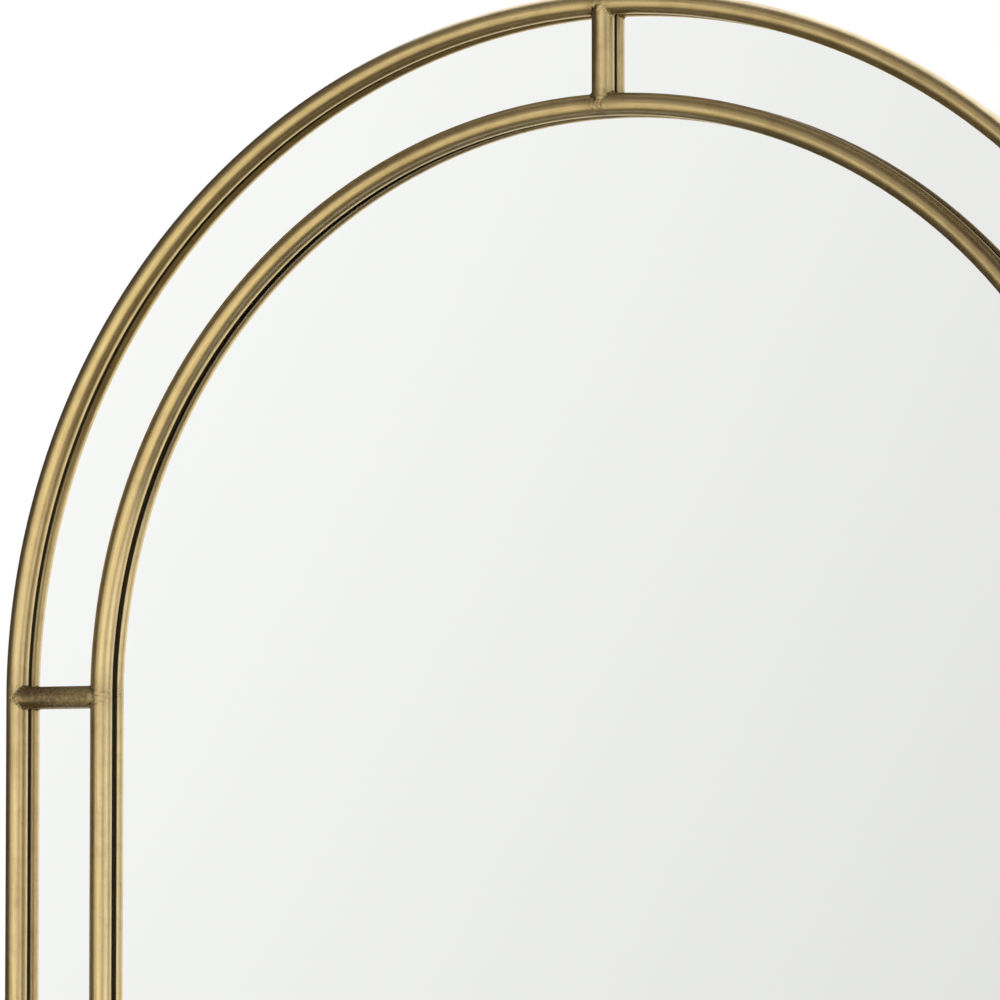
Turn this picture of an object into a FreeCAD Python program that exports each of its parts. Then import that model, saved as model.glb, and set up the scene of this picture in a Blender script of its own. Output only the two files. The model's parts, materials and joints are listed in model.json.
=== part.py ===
import FreeCAD, Part
import os
import Sketcher

# Arched full-length floor mirror. Two round brass tube frames, one inside the other, are held
# apart by short struts and lie on one arched sheet of mirror glass. A flat band behind the outer
# tube forms a tray that holds the glass, a foam sheet and a backing board, closed by clips and
# two cross bars. The upper cross bar carries two hinged D-ring hangers.
#
# Millimetres. +X is to the right seen from the front, +Y points back to the wall and +Z is up.
# The origin is the middle of the footprint, on the floor.

PARTS_FOLDER = "parts"

# The driving dimensions of the mirror.
DRIVING_SIZES = {
    # overall
    "overall_width": 915,
    "overall_height": 1830,
    "overall_depth": 40,
    # tube frames
    "tube_diameter": 15,
    "tube_wall": 1.2,
    "ring_spacing": 67,
    # tray band behind the outer tube
    "rim_outset": 3.2,
    "rim_wall": 1.5,
    "rim_depth": 22,
    # sheets in the tray, front to back
    "bedding_gap": 0.1,
    "glass_thickness": 5,
    "glass_clearance": 1,
    "glass_arris": 0.6,
    "foam_thickness": 2,
    "board_thickness": 6,
    "board_clearance": 1.5,
    "setting_block_length": 40,
    "setting_block_height": 3,
    "setting_block_reach": 225,
    # clips between the board and the tray band
    "clip_width": 18,
    "clip_foot": 20,
    "clip_flange": 8,
    "clip_thickness": 1.5,
    "clip_gap": 0.1,
    "clip_screw_inset": 12,
    "rivet_rise": 5,
    # cross bars
    "bar_height": 56,
    "bar_thickness": 2.5,
    "bar_flange": 8,
    "bar_rivet_reach": 15,
    "upper_bar_level": 1290,
    "lower_bar_level": 330,
    # D-ring hangers
    "hanger_reach": 300,
    "hanger_rise": 22,
    "plate_width": 18,
    "plate_length": 46,
    "plate_thickness": 1.5,
    "plate_corner": 5,
    "knuckle_width": 14,
    "knuckle_radius": 3.6,
    "knuckle_bore_radius": 1.8,
    "ring_wire_diameter": 3,
    "ring_half_width": 11,
    "ring_corner": 3,
    "ring_side": 3,
    "hanger_screw_upper": 24,
    "hanger_screw_lower": 38,
    # fasteners
    "wood_screw_radius": 1.75,
    "wood_screw_length": 6.5,
    "machine_screw_radius": 2,
    "screw_head_radius": 3.5,
    "screw_head_height": 2,
    "screw_recess_depth": 1.2,
    "screw_recess_reach": 1.9,
    "screw_recess_half_width": 0.4,
    "rivet_radius": 1.5,
    "rivet_head_radius": 3.2,
    "rivet_head_height": 1,
    "rivet_tail_radius": 2.4,
    # rubber bumpers against the wall and pads on the floor
    "bumper_foot_radius": 10,
    "bumper_face_radius": 8,
    "bumper_recess_radius": 4.5,
    "bumper_seat": 3,
    "bumper_crown_reach": 60,
    "bumper_crown_drop": 13,
    "bumper_base_reach": 380,
    "bumper_base_level": 120,
    "pad_lift": 2,
    "pad_length": 80,
    "pad_reach": 330,
    "pad_front_inset": 1,
}

# Sizes and places worked out from the driving dimensions.
TUBE_RADIUS = "(Sizes.tube_diameter / 2)"
TUBE_BORE = "(Sizes.tube_diameter / 2 - Sizes.tube_wall)"
OUTER_RADIUS = "((Sizes.overall_width - Sizes.tube_diameter) / 2)"
INNER_RADIUS = f"({OUTER_RADIUS} - Sizes.ring_spacing)"
SPRING_LEVEL = "(Sizes.overall_height - Sizes.overall_width / 2)"
OUTER_BASE = f"(Sizes.pad_lift + {TUBE_RADIUS})"
INNER_BASE = f"({OUTER_BASE} + Sizes.ring_spacing)"
TUBE_PLANE = "((Sizes.tube_diameter - Sizes.overall_depth) / 2)"
TUBE_BACK = f"({TUBE_PLANE} + {TUBE_RADIUS})"
RIM_INSIDE = f"({OUTER_RADIUS} + Sizes.rim_outset - Sizes.rim_wall)"
RIM_OUTSIDE = f"({OUTER_RADIUS} + Sizes.rim_outset)"
RIM_FLOOR = f"({OUTER_BASE} - Sizes.rim_outset)"
RIM_BASE = f"({RIM_FLOOR} + Sizes.rim_wall)"
RIM_STOCK = f"(Sizes.rim_depth + {TUBE_RADIUS})"
GLASS_FRONT = f"({TUBE_BACK} + Sizes.bedding_gap)"
FOAM_FRONT = f"({GLASS_FRONT} + Sizes.glass_thickness)"
BOARD_FRONT = f"({FOAM_FRONT} + Sizes.foam_thickness)"
BOARD_BACK = f"({BOARD_FRONT} + Sizes.board_thickness)"
BAR_BACK = f"({BOARD_BACK} + Sizes.bar_thickness)"
WALL_PLANE = "(Sizes.overall_depth / 2)"
BUMPER_HEIGHT = f"({WALL_PLANE} - {BOARD_BACK})"
HANGER_LEVEL = "(Sizes.upper_bar_level + Sizes.hanger_rise)"
KNUCKLE_PLANE = f"({BAR_BACK} + Sizes.knuckle_radius)"

# Directions on the tray band, in degrees from +X towards +Z.
RIGHT, TOP, LEFT, BOTTOM = 0, 90, 180, 270

# Where the clips sit: round the arch by direction, on the sides by height, along the base by X.
ARCH_CLIP_ANGLES = (30, 60, 90, 120, 150)
SIDE_CLIP_LEVELS = (1130, 720, 180)
BASE_CLIP_PLACES = (-280, 0, 280)

# Turns that lay a piece built along +Z in another direction.
UPRIGHT = FreeCAD.Rotation()
ALONG_X = FreeCAD.Rotation(FreeCAD.Vector(0, 1, 0), 90)
FACING_BACK = FreeCAD.Rotation(FreeCAD.Vector(1, 0, 0), -90)
ARCH_PLANE = FreeCAD.Rotation(FreeCAD.Vector(1, 0, 0), 90)

HALF_TURN = 180
FULL_TURN = 360

doc = FreeCAD.newDocument("floor_mirror")
nodes = []


def write_sheet():
    """Put each driving dimension in the spreadsheet under its alias."""
    sheet = doc.addObject("Spreadsheet::Sheet", "Sizes")
    for row, (alias, value) in enumerate(DRIVING_SIZES.items(), start=1):
        sheet.set(f"A{row}", alias)
        sheet.set(f"B{row}", str(value))
        sheet.setAlias(f"B{row}", alias)
    doc.recompute()


def make_probe():
    """A helper object that works out the value of an expression."""
    helper = doc.addObject("App::FeaturePython", "probe")
    helper.addProperty("App::PropertyFloat", "Value")
    return helper


def number(expression):
    """The present value of an expression on the sheet's cells, in millimetres."""
    probe.setExpression("Value", expression)
    probe.recompute()
    return probe.Value


def outward_turn(direction):
    """The turn about Y that points a piece's +Z along a direction of the tray band."""
    return FreeCAD.Rotation(FreeCAD.Vector(0, 1, 0), TOP - direction)


def keep(item, label):
    """Give a finished sub-part its own label and list it for writing."""
    item.Label = label
    nodes.append(item)
    return item


def place(item, x="0", y="0", z="0", turn=UPRIGHT):
    """Turn a piece and bind its position to expressions."""
    item.Placement = FreeCAD.Placement(FreeCAD.Vector(0, 0, 0), turn)
    for letter, expression in zip("xyz", (x, y, z)):
        item.setExpression(f"Placement.Base.{letter}", expression)
    return item


# Sketch helpers: every dimension of a sketch is a constraint bound to an expression.


def new_sketch(body, plane_role, name):
    """A sketch on one of the body's own origin planes."""
    sketch = body.newObject("Sketcher::SketchObject", name)
    plane = next(item for item in body.Origin.OriginFeatures if item.Role == plane_role)
    sketch.AttachmentSupport = [(plane, "")]
    sketch.MapMode = "FlatFace"
    return sketch


def bind(sketch, kind, elements, expression):
    """Add a dimension to a sketch and bind it to an expression."""
    index = sketch.addConstraint(Sketcher.Constraint(kind, *elements, number(expression)))
    sketch.setExpression(f"Constraints[{index}]", expression)


def pin_point(sketch, geometry, point, x, y):
    """Fix a point of a sketch at two expressions measured from the sketch's origin."""
    bind(sketch, "DistanceX", (-1, 1, geometry, point), x)
    bind(sketch, "DistanceY", (-1, 1, geometry, point), y)


def draw_circle(sketch, x, y, radius):
    """A circle given by its centre and radius."""
    centre = FreeCAD.Vector(number(x), number(y), 0)
    index = sketch.addGeometry(Part.Circle(centre, FreeCAD.Vector(0, 0, 1), number(radius)), False)
    bind(sketch, "Radius", (index,), radius)
    pin_point(sketch, index, 3, x, y)


def draw_polygon(sketch, corners):
    """A closed outline of straight lines through corners given as pairs of expressions."""
    points = [FreeCAD.Vector(number(x), number(y), 0) for x, y in corners]
    count = len(points)
    first = sketch.GeometryCount
    for step in range(count):
        line = Part.LineSegment(points[step], points[(step + 1) % count])
        sketch.addGeometry(line, False)
    for step in range(count):
        following = (step + 1) % count
        joint = Sketcher.Constraint("Coincident", first + step, 2, first + following, 1)
        sketch.addConstraint(joint)
        pin_point(sketch, first + step, 1, *corners[step])


def draw_rectangle(sketch, left, bottom, right, top):
    """An upright rectangle between two corners."""
    draw_polygon(sketch, [(left, bottom), (right, bottom), (right, top), (left, top)])


def draw_arched_outline(sketch, half_width, base):
    """A flat-bottomed outline with a semicircular head on the spring line."""
    width = number(half_width)
    low = number(base)
    spring = number(SPRING_LEVEL)
    base_left = FreeCAD.Vector(-width, low, 0)
    base_right = FreeCAD.Vector(width, low, 0)
    spring_left = FreeCAD.Vector(-width, spring, 0)
    spring_right = FreeCAD.Vector(width, spring, 0)
    crown = FreeCAD.Vector(0, spring + width, 0)
    edges = [
        Part.LineSegment(base_left, base_right),
        Part.LineSegment(base_right, spring_right),
        Part.Arc(spring_right, crown, spring_left),
        Part.LineSegment(spring_left, base_left),
    ]
    sketch.addGeometry(edges, False)
    base_line, right_line, arch, left_line = range(len(edges))
    sketch.addConstraint(Sketcher.Constraint("Coincident", base_line, 2, right_line, 1))
    sketch.addConstraint(Sketcher.Constraint("Coincident", right_line, 2, arch, 1))
    sketch.addConstraint(Sketcher.Constraint("Coincident", arch, 2, left_line, 1))
    sketch.addConstraint(Sketcher.Constraint("Coincident", left_line, 2, base_line, 1))
    pin_point(sketch, base_line, 1, f"-{half_width}", base)
    pin_point(sketch, base_line, 2, half_width, base)
    pin_point(sketch, right_line, 2, half_width, SPRING_LEVEL)
    pin_point(sketch, left_line, 1, f"-{half_width}", SPRING_LEVEL)
    bind(sketch, "DistanceY", (-1, 1, arch, 3), SPRING_LEVEL)


# Feature helpers.


def new_body(name):
    """An empty body."""
    return doc.addObject("PartDesign::Body", name)


def pad(body, sketch, length, reverse=False, both_sides=False):
    """Extrude a sketch by a bound length."""
    feature = body.newObject("PartDesign::Pad", sketch.Name + "_pad")
    feature.Profile = sketch
    feature.Reversed = reverse
    feature.Midplane = both_sides
    feature.setExpression("Length", length)
    doc.recompute()
    return feature


def pocket_through(body, sketch):
    """Cut a sketch right through the body, both ways."""
    volume_before = body.Shape.Volume
    feature = body.newObject("PartDesign::Pocket", sketch.Name + "_cut")
    feature.Profile = sketch
    feature.Type = "ThroughAll"
    feature.Midplane = True
    doc.recompute()
    if body.Shape.Volume >= volume_before:
        raise RuntimeError(f"{feature.Name} removed nothing")
    return feature


def revolve(body, sketch, angle, reverse=False):
    """Turn a sketch about its own upright axis."""
    feature = body.newObject("PartDesign::Revolution", sketch.Name + "_turned")
    feature.Profile = sketch
    feature.ReferenceAxis = (sketch, ["V_Axis"])
    feature.Angle = angle
    feature.Reversed = reverse
    doc.recompute()
    return feature


def turned_body(name, profile):
    """A solid of revolution about Z from corners given as radius and height."""
    body = new_body(name)
    sketch = new_sketch(body, "XZ_Plane", name + "_profile")
    draw_polygon(sketch, profile)
    revolve(body, sketch, FULL_TURN)
    return body


def cylinder(name, radius, length):
    """A solid round bar along +Z."""
    item = doc.addObject("Part::Cylinder", name)
    item.setExpression("Radius", radius)
    item.setExpression("Height", length)
    return item


def box(name, length, width, height):
    """A block with its lowest corner at its origin."""
    item = doc.addObject("Part::Box", name)
    item.setExpression("Length", length)
    item.setExpression("Width", width)
    item.setExpression("Height", height)
    return item


def cut(name, base, tool):
    """One solid with another taken away, which must remove something."""
    item = doc.addObject("Part::Cut", name)
    item.Base = base
    item.Tool = tool
    doc.recompute()
    if item.Shape.Volume >= base.Shape.Volume:
        raise RuntimeError(f"{name} removed nothing")
    return item


def copies(label, master, places):
    """Identical pieces as one group of separate solids, each a placed link to the master."""
    links = []
    for count, spot in enumerate(places, start=1):
        link = doc.addObject("App::Link", f"{label}_{count}")
        link.LinkedObject = master
        place(link, *spot)
        links.append(link)
    group = doc.addObject("Part::Compound", label + "_group")
    group.Links = links
    doc.recompute()
    return keep(group, label)


# Tube frames.


def arch_tube(label, radius):
    """Half a ring of round tube that stands on the spring line."""
    body = new_body(label + "_body")
    section = new_sketch(body, "XY_Plane", label + "_section")
    draw_circle(section, radius, "0", TUBE_RADIUS)
    draw_circle(section, radius, "0", TUBE_BORE)
    revolve(body, section, HALF_TURN, reverse=True)
    place(body, y=TUBE_PLANE, z=SPRING_LEVEL)
    return keep(body, label)


def straight_tube(label, length, mitres):
    """A round tube along +Z from its origin, its ends cut by the given mitre wedges."""
    body = new_body(label + "_body")
    section = new_sketch(body, "XY_Plane", label + "_section")
    draw_circle(section, "0", "0", TUBE_RADIUS)
    draw_circle(section, "0", "0", TUBE_BORE)
    pad(body, section, length)
    for end, corners in enumerate(mitres, start=1):
        wedge = new_sketch(body, "XZ_Plane", f"{label}_mitre_{end}")
        draw_polygon(wedge, corners)
        pocket_through(body, wedge)
    return body


def mitre_wedge(level, slope, side):
    """Corners of a triangle that cuts a tube at 45 degrees, through its axis at the given level.

    slope is 1 where the cut rises towards +X and -1 where it falls. side is 1 to take away what
    lies above the cut and -1 to take away what lies below it.
    """
    reach = "Sizes.tube_diameter"
    return [
        (f"{-slope} * {reach}", f"{level} - {reach}"),
        (f"{slope} * {reach}", f"{level} + {reach}"),
        (f"{-slope * side} * {reach}", f"{level} + {side} * {reach}"),
    ]


def leg_tube(label, side, radius, base):
    """An upright leg from its mitred foot to the spring line. side is -1 left or 1 right."""
    length = f"{SPRING_LEVEL} - {base} + {TUBE_RADIUS}"
    body = straight_tube(label, length, [mitre_wedge(TUBE_RADIUS, slope=1, side=-1)])
    turn = UPRIGHT if side < 0 else FreeCAD.Rotation(FreeCAD.Vector(0, 0, 1), HALF_TURN)
    place(body, f"{side} * {radius}", TUBE_PLANE, f"{base} - {TUBE_RADIUS}", turn)
    return keep(body, label)


def base_tube(label, radius, base):
    """The horizontal tube between the two mitred feet of a frame."""
    length = f"(2 * {radius} + Sizes.tube_diameter)"
    mitres = [
        mitre_wedge(TUBE_RADIUS, slope=-1, side=-1),
        mitre_wedge(f"{length} - {TUBE_RADIUS}", slope=1, side=1),
    ]
    body = straight_tube(label, length, mitres)
    place(body, f"-{length} / 2", TUBE_PLANE, base, ALONG_X)
    return keep(body, label)


def ring_solid(name, radius):
    """The outer form of an arch tube, as a full ring, for shaping what meets it."""
    item = doc.addObject("Part::Torus", name)
    item.setExpression("Radius1", radius)
    item.setExpression("Radius2", TUBE_RADIUS)
    return place(item, y=TUBE_PLANE, z=SPRING_LEVEL, turn=ARCH_PLANE)


def leg_solid(name, x):
    """The outer form of a leg, for shaping what meets it."""
    return place(cylinder(name, TUBE_RADIUS, SPRING_LEVEL), x, TUBE_PLANE)


def base_solid(name, level):
    """The outer form of a base tube, for shaping what meets it."""
    bar = cylinder(name, TUBE_RADIUS, "Sizes.overall_width")
    return place(bar, "-Sizes.overall_width / 2", TUBE_PLANE, level, ALONG_X)


def strut(label, x, z, turn, neighbours):
    """A short tube between the two frames, its ends shaped to the tubes that they meet."""
    stock = place(cylinder(label + "_stock", TUBE_RADIUS, "Sizes.ring_spacing"), x, TUBE_PLANE, z, turn)
    bore = place(cylinder(label + "_bore", TUBE_BORE, "Sizes.ring_spacing"), x, TUBE_PLANE, z, turn)
    shaped = cut(label + "_tube", stock, bore)
    for count, neighbour in enumerate(neighbours, start=1):
        shaped = cut(f"{label}_cope_{count}", shaped, neighbour)
    return keep(shaped, label)


def tube_frames():
    """Both tube frames and the struts between them. Returns the outer frame's solid forms."""
    frames = {"outer": (OUTER_RADIUS, OUTER_BASE), "inner": (INNER_RADIUS, INNER_BASE)}
    for name, (radius, base) in frames.items():
        arch_tube(f"{name}_arch_tube", radius)
        leg_tube(f"{name}_left_leg", -1, radius, base)
        leg_tube(f"{name}_right_leg", 1, radius, base)
        base_tube(f"{name}_bottom_tube", radius, base)

    outer_ring = ring_solid("outer_ring_form", OUTER_RADIUS)
    inner_ring = ring_solid("inner_ring_form", INNER_RADIUS)
    outer_floor = base_solid("outer_base_form", OUTER_BASE)
    inner_floor = base_solid("inner_base_form", INNER_BASE)
    strut("top_strut", "0", f"{SPRING_LEVEL} + {INNER_RADIUS}", UPRIGHT, [outer_ring, inner_ring])
    strut("bottom_strut", "0", OUTER_BASE, UPRIGHT, [outer_floor, inner_floor])
    forms = {"arch": outer_ring, "bottom": outer_floor}
    for side, start in (("left", f"-{OUTER_RADIUS}"), ("right", INNER_RADIUS)):
        sign = "-" if side == "left" else ""
        outer_leg = leg_solid(f"outer_{side}_leg_form", f"{sign}{OUTER_RADIUS}")
        inner_leg = leg_solid(f"inner_{side}_leg_form", f"{sign}{INNER_RADIUS}")
        upper_neighbours = [outer_leg, inner_leg, outer_ring, inner_ring]
        strut(f"{side}_upper_strut", start, SPRING_LEVEL, ALONG_X, upper_neighbours)
        strut(f"{side}_lower_strut", start, INNER_BASE, ALONG_X, [outer_leg, inner_leg])
        forms[side] = outer_leg
    return forms


# Tray band. A point on it is given by its direction and, where the band is straight, by its place
# along it: a height on the sides and an X on the base.


def rim_point(direction, along, inset):
    """Expressions for X and Z of a point inside the band's inner wall by an inset."""
    if direction in (RIGHT, LEFT):
        sign = "" if direction == RIGHT else "-"
        return f"{sign}({RIM_INSIDE} - {inset})", str(along)
    if direction == BOTTOM:
        return str(along), f"{RIM_BASE} + {inset}"
    reach = f"({RIM_INSIDE} - {inset})"
    return f"{reach} * cos({direction} deg)", f"{SPRING_LEVEL} + {reach} * sin({direction} deg)"


def clip_spots():
    """Direction and place of every clip round the tray."""
    spots = [(angle, None) for angle in ARCH_CLIP_ANGLES]
    spots += [(side, level) for side in (LEFT, RIGHT) for level in SIDE_CLIP_LEVELS]
    spots += [(BOTTOM, place_along) for place_along in BASE_CLIP_PLACES]
    return spots


def bar_rivet_spots():
    """Direction and height of the rivets at the ends of both cross bars."""
    levels = [
        f"(Sizes.{bar}_bar_level {sign} Sizes.bar_rivet_reach)"
        for bar in ("upper", "lower")
        for sign in ("+", "-")
    ]
    return [(side, level) for side in (LEFT, RIGHT) for level in levels]


def rivet(name, grip):
    """A dome-headed rivet along +Z with its head's seat at z = 0 and its grip below."""
    profile = [
        ("0", "Sizes.rivet_head_height"),
        ("0", f"-{grip} - Sizes.rivet_head_height"),
        ("Sizes.rivet_tail_radius", f"-{grip} - Sizes.rivet_head_height"),
        ("Sizes.rivet_tail_radius", f"-{grip}"),
        ("Sizes.rivet_radius", f"-{grip}"),
        ("Sizes.rivet_radius", "0"),
        ("Sizes.rivet_head_radius", "0"),
        ("Sizes.rivet_head_radius - 0.2 * Sizes.rivet_head_height", "0.5 * Sizes.rivet_head_height"),
        ("0.6 * Sizes.rivet_head_radius", "Sizes.rivet_head_height"),
    ]
    return turned_body(name, profile)


def rivets(label, grip, spots):
    """A group of rivets through the band, each pointing outwards."""
    places = []
    for direction, along in spots:
        x, z = rim_point(direction, along, "-Sizes.rim_wall")
        places.append((x, f"{BOARD_BACK} + Sizes.rivet_rise", z, outward_turn(direction)))
    return copies(label, rivet(label + "_master", grip), places)


def rim_band(label, blank, tube, fasteners):
    """A stretch of the band, its front edge shaped to the tube, drilled for its rivets."""
    blank = cut(f"{label}_coped", blank, tube)
    for count, group in enumerate(fasteners, start=1):
        blank = cut(f"{label}_drilled_{count}", blank, group)
    return keep(blank, label)


def rim_arch_blank():
    """The bent head of the band."""
    body = new_body("rim_arch_blank")
    section = new_sketch(body, "XY_Plane", "rim_arch_section")
    draw_rectangle(section, RIM_INSIDE, "0", RIM_OUTSIDE, RIM_STOCK)
    revolve(body, section, HALF_TURN, reverse=True)
    return place(body, y=TUBE_PLANE, z=SPRING_LEVEL)


def tray_band(tube_forms):
    """The four stretches of the band with their rivets."""
    clip_grip = "(Sizes.rim_wall + Sizes.clip_gap + Sizes.clip_thickness)"
    bar_grip = "(Sizes.rim_wall + Sizes.clip_gap + Sizes.bar_thickness)"
    clip_rivets = rivets("clip_rivets", clip_grip, clip_spots())
    bar_rivets = rivets("cross_bar_rivets", bar_grip, bar_rivet_spots())

    rim_band("rim_arch_band", rim_arch_blank(), tube_forms["arch"], [clip_rivets])
    for side, corner in (("left", f"-{RIM_OUTSIDE}"), ("right", RIM_INSIDE)):
        height = f"{SPRING_LEVEL} - {RIM_BASE}"
        blank = box(f"rim_{side}_blank", "Sizes.rim_wall", RIM_STOCK, height)
        place(blank, corner, TUBE_PLANE, RIM_BASE)
        rim_band(f"rim_{side}_band", blank, tube_forms[side], [clip_rivets, bar_rivets])
    base_blank = box("rim_base_blank", f"2 * {RIM_OUTSIDE}", RIM_STOCK, "Sizes.rim_wall")
    place(base_blank, f"-{RIM_OUTSIDE}", TUBE_PLANE, RIM_FLOOR)
    rim_band("rim_bottom_band", base_blank, tube_forms["bottom"], [clip_rivets])


# Sheets in the tray.


def arched_sheet(name, thickness, clearance, base, front):
    """A flat sheet of the tray's outline, with a clearance to the band."""
    body = new_body(name)
    outline = new_sketch(body, "XZ_Plane", name + "_outline")
    draw_arched_outline(outline, f"({RIM_INSIDE} - {clearance})", base)
    pad(body, outline, thickness, reverse=True)
    return place(body, y=front)


def mirror_glass():
    """The mirror sheet, stood on setting blocks, with its sharp edges ground off."""
    base = f"({RIM_BASE} + Sizes.setting_block_height)"
    body = arched_sheet("glass_body", "Sizes.glass_thickness", "Sizes.glass_clearance", base, GLASS_FRONT)
    sheet = body.Tip
    arris = body.newObject("PartDesign::Chamfer", "glass_arris")
    arris.Base = (sheet, flat_face_names(sheet.Shape))
    arris.setExpression("Size", "Sizes.glass_arris")
    doc.recompute()
    return keep(body, "mirror_glass")


def flat_face_names(shape):
    """Names of the two broad faces of a sheet, which carry its outline's edges."""
    broadest = max(face.Area for face in shape.Faces)
    return [f"Face{i}" for i, face in enumerate(shape.Faces, start=1) if face.Area > broadest / 2]


def setting_blocks():
    """Two rubber blocks under the glass."""
    length = "Sizes.setting_block_length"
    block = box("setting_block", length, "Sizes.glass_thickness", "Sizes.setting_block_height")
    places = [
        (f"{sign} * Sizes.setting_block_reach - {length} / 2", GLASS_FRONT, RIM_BASE)
        for sign in (-1, 1)
    ]
    copies("setting_blocks", block, places)


def pan_screw(name, shank_radius, length):
    """A pan-head screw along +Z with a cross recess, its head's seat at z = 0."""
    profile = [
        ("0", "Sizes.screw_head_height"),
        ("0", f"-{length}"),
        (f"0.3 * {shank_radius}", f"-{length}"),
        (shank_radius, f"-{length} + {shank_radius}"),
        (shank_radius, "0"),
        ("Sizes.screw_head_radius", "0"),
        ("Sizes.screw_head_radius", "0.5 * Sizes.screw_head_height"),
        ("0.7 * Sizes.screw_head_radius", "Sizes.screw_head_height"),
    ]
    body = turned_body(name, profile)
    recess = new_sketch(body, "XY_Plane", name + "_recess")
    draw_polygon(recess, cross_outline("Sizes.screw_recess_reach", "Sizes.screw_recess_half_width"))
    recess.AttachmentOffset = FreeCAD.Placement(FreeCAD.Vector(0, 0, 0), UPRIGHT)
    recess.setExpression("AttachmentOffset.Base.z", "Sizes.screw_head_height")
    doc.recompute()
    volume_before = body.Shape.Volume
    feature = body.newObject("PartDesign::Pocket", name + "_recess_cut")
    feature.Profile = recess
    feature.setExpression("Length", "Sizes.screw_recess_depth")
    doc.recompute()
    if body.Shape.Volume >= volume_before:
        raise RuntimeError(f"{name} has no recess")
    return body


def cross_outline(reach, half_width):
    """The twelve corners of a plus sign."""
    signs = [(1, 1), (-1, 1), (-1, -1), (1, -1)]
    corners = []
    for x_sign, y_sign in signs:
        arm_x = (f"{x_sign} * {reach}", f"{y_sign} * {half_width}")
        corner = (f"{x_sign} * {half_width}", f"{y_sign} * {half_width}")
        arm_y = (f"{x_sign} * {half_width}", f"{y_sign} * {reach}")
        corners += [arm_x, corner, arm_y] if x_sign == y_sign else [arm_y, corner, arm_x]
    return corners


def clips():
    """Angle clips that hold the board in the tray, and their screws."""
    body = new_body("clip_master")
    profile = new_sketch(body, "YZ_Plane", "clip_profile")
    draw_polygon(
        profile,
        [
            ("0", "0"),
            ("0", "-Sizes.clip_foot"),
            ("Sizes.clip_thickness", "-Sizes.clip_foot"),
            ("Sizes.clip_thickness", "-Sizes.clip_thickness"),
            ("Sizes.clip_flange", "-Sizes.clip_thickness"),
            ("Sizes.clip_flange", "0"),
        ],
    )
    pad(body, profile, "Sizes.clip_width", both_sides=True)
    screw_hole = new_sketch(body, "XZ_Plane", "clip_screw_hole")
    draw_circle(screw_hole, "0", "Sizes.clip_gap - Sizes.clip_screw_inset", "Sizes.wood_screw_radius")
    pocket_through(body, screw_hole)
    rivet_hole = new_sketch(body, "XY_Plane", "clip_rivet_hole")
    draw_circle(rivet_hole, "0", "Sizes.rivet_rise", "Sizes.rivet_radius")
    pocket_through(body, rivet_hole)

    clip_places = []
    screw_places = []
    for direction, along in clip_spots():
        x, z = rim_point(direction, along, "Sizes.clip_gap")
        clip_places.append((x, BOARD_BACK, z, outward_turn(direction)))
        x, z = rim_point(direction, along, "Sizes.clip_screw_inset")
        screw_places.append((x, f"{BOARD_BACK} + Sizes.clip_thickness", z, FACING_BACK))
    copies("retaining_clips", body, clip_places)
    screw = pan_screw("clip_screw", "Sizes.wood_screw_radius", "Sizes.wood_screw_length")
    return copies("clip_screws", screw, screw_places)


def bumpers():
    """Rubber bumpers that meet the wall, two under the crown and two near the base."""
    profile = [
        ("Sizes.wood_screw_radius", "0"),
        ("Sizes.bumper_foot_radius", "0"),
        ("Sizes.bumper_face_radius", BUMPER_HEIGHT),
        ("Sizes.bumper_recess_radius", BUMPER_HEIGHT),
        ("Sizes.bumper_recess_radius", "Sizes.bumper_seat"),
        ("Sizes.wood_screw_radius", "Sizes.bumper_seat"),
    ]
    bumper = turned_body("bumper_master", profile)
    crown_x = "Sizes.bumper_crown_reach"
    crown_z = f"{SPRING_LEVEL} + sqrt({RIM_INSIDE} ^ 2 - {crown_x} ^ 2) - Sizes.bumper_crown_drop"
    middles = [(f"-{crown_x}", crown_z), (crown_x, crown_z)]
    middles += [(f"{sign} * Sizes.bumper_base_reach", "Sizes.bumper_base_level") for sign in (-1, 1)]
    copies("wall_bumpers", bumper, [(x, BOARD_BACK, z, FACING_BACK) for x, z in middles])
    screw_length = "(Sizes.bumper_seat + Sizes.wood_screw_length - Sizes.clip_thickness)"
    screw = pan_screw("bumper_screw", "Sizes.wood_screw_radius", screw_length)
    seat = f"{BOARD_BACK} + Sizes.bumper_seat"
    return copies("bumper_screws", screw, [(x, seat, z, FACING_BACK) for x, z in middles])


def backing_board(fasteners):
    """The stiff board that closes the tray, with a hole for each screw."""
    base = f"({RIM_BASE} + Sizes.board_clearance)"
    board = arched_sheet("board_sheet", "Sizes.board_thickness", "Sizes.board_clearance", base, BOARD_FRONT)
    for count, group in enumerate(fasteners, start=1):
        board = cut(f"board_drilled_{count}", board, group)
    keep(board, "backing_board")


def foam_sheet():
    """The soft sheet that presses the glass against the tube."""
    base = f"({RIM_BASE} + Sizes.board_clearance)"
    sheet = arched_sheet("foam_body", "Sizes.foam_thickness", "Sizes.board_clearance", base, FOAM_FRONT)
    keep(sheet, "foam_sheet")


# Cross bars and hangers.


def cross_bar_blank(name, level):
    """A flat bar across the back with its ends bent out along the band."""
    half_length = f"({RIM_INSIDE} - Sizes.clip_gap)"
    shoulder = f"({half_length} - Sizes.bar_thickness)"
    body = new_body(name)
    profile = new_sketch(body, "XY_Plane", name + "_profile")
    draw_polygon(
        profile,
        [
            (f"-{half_length}", "0"),
            (half_length, "0"),
            (half_length, "Sizes.bar_flange"),
            (shoulder, "Sizes.bar_flange"),
            (shoulder, "Sizes.bar_thickness"),
            (f"-{shoulder}", "Sizes.bar_thickness"),
            (f"-{shoulder}", "Sizes.bar_flange"),
            (f"-{half_length}", "Sizes.bar_flange"),
        ],
    )
    pad(body, profile, "Sizes.bar_height")
    return place(body, y=BOARD_BACK, z=f"{level} - Sizes.bar_height / 2")


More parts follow.
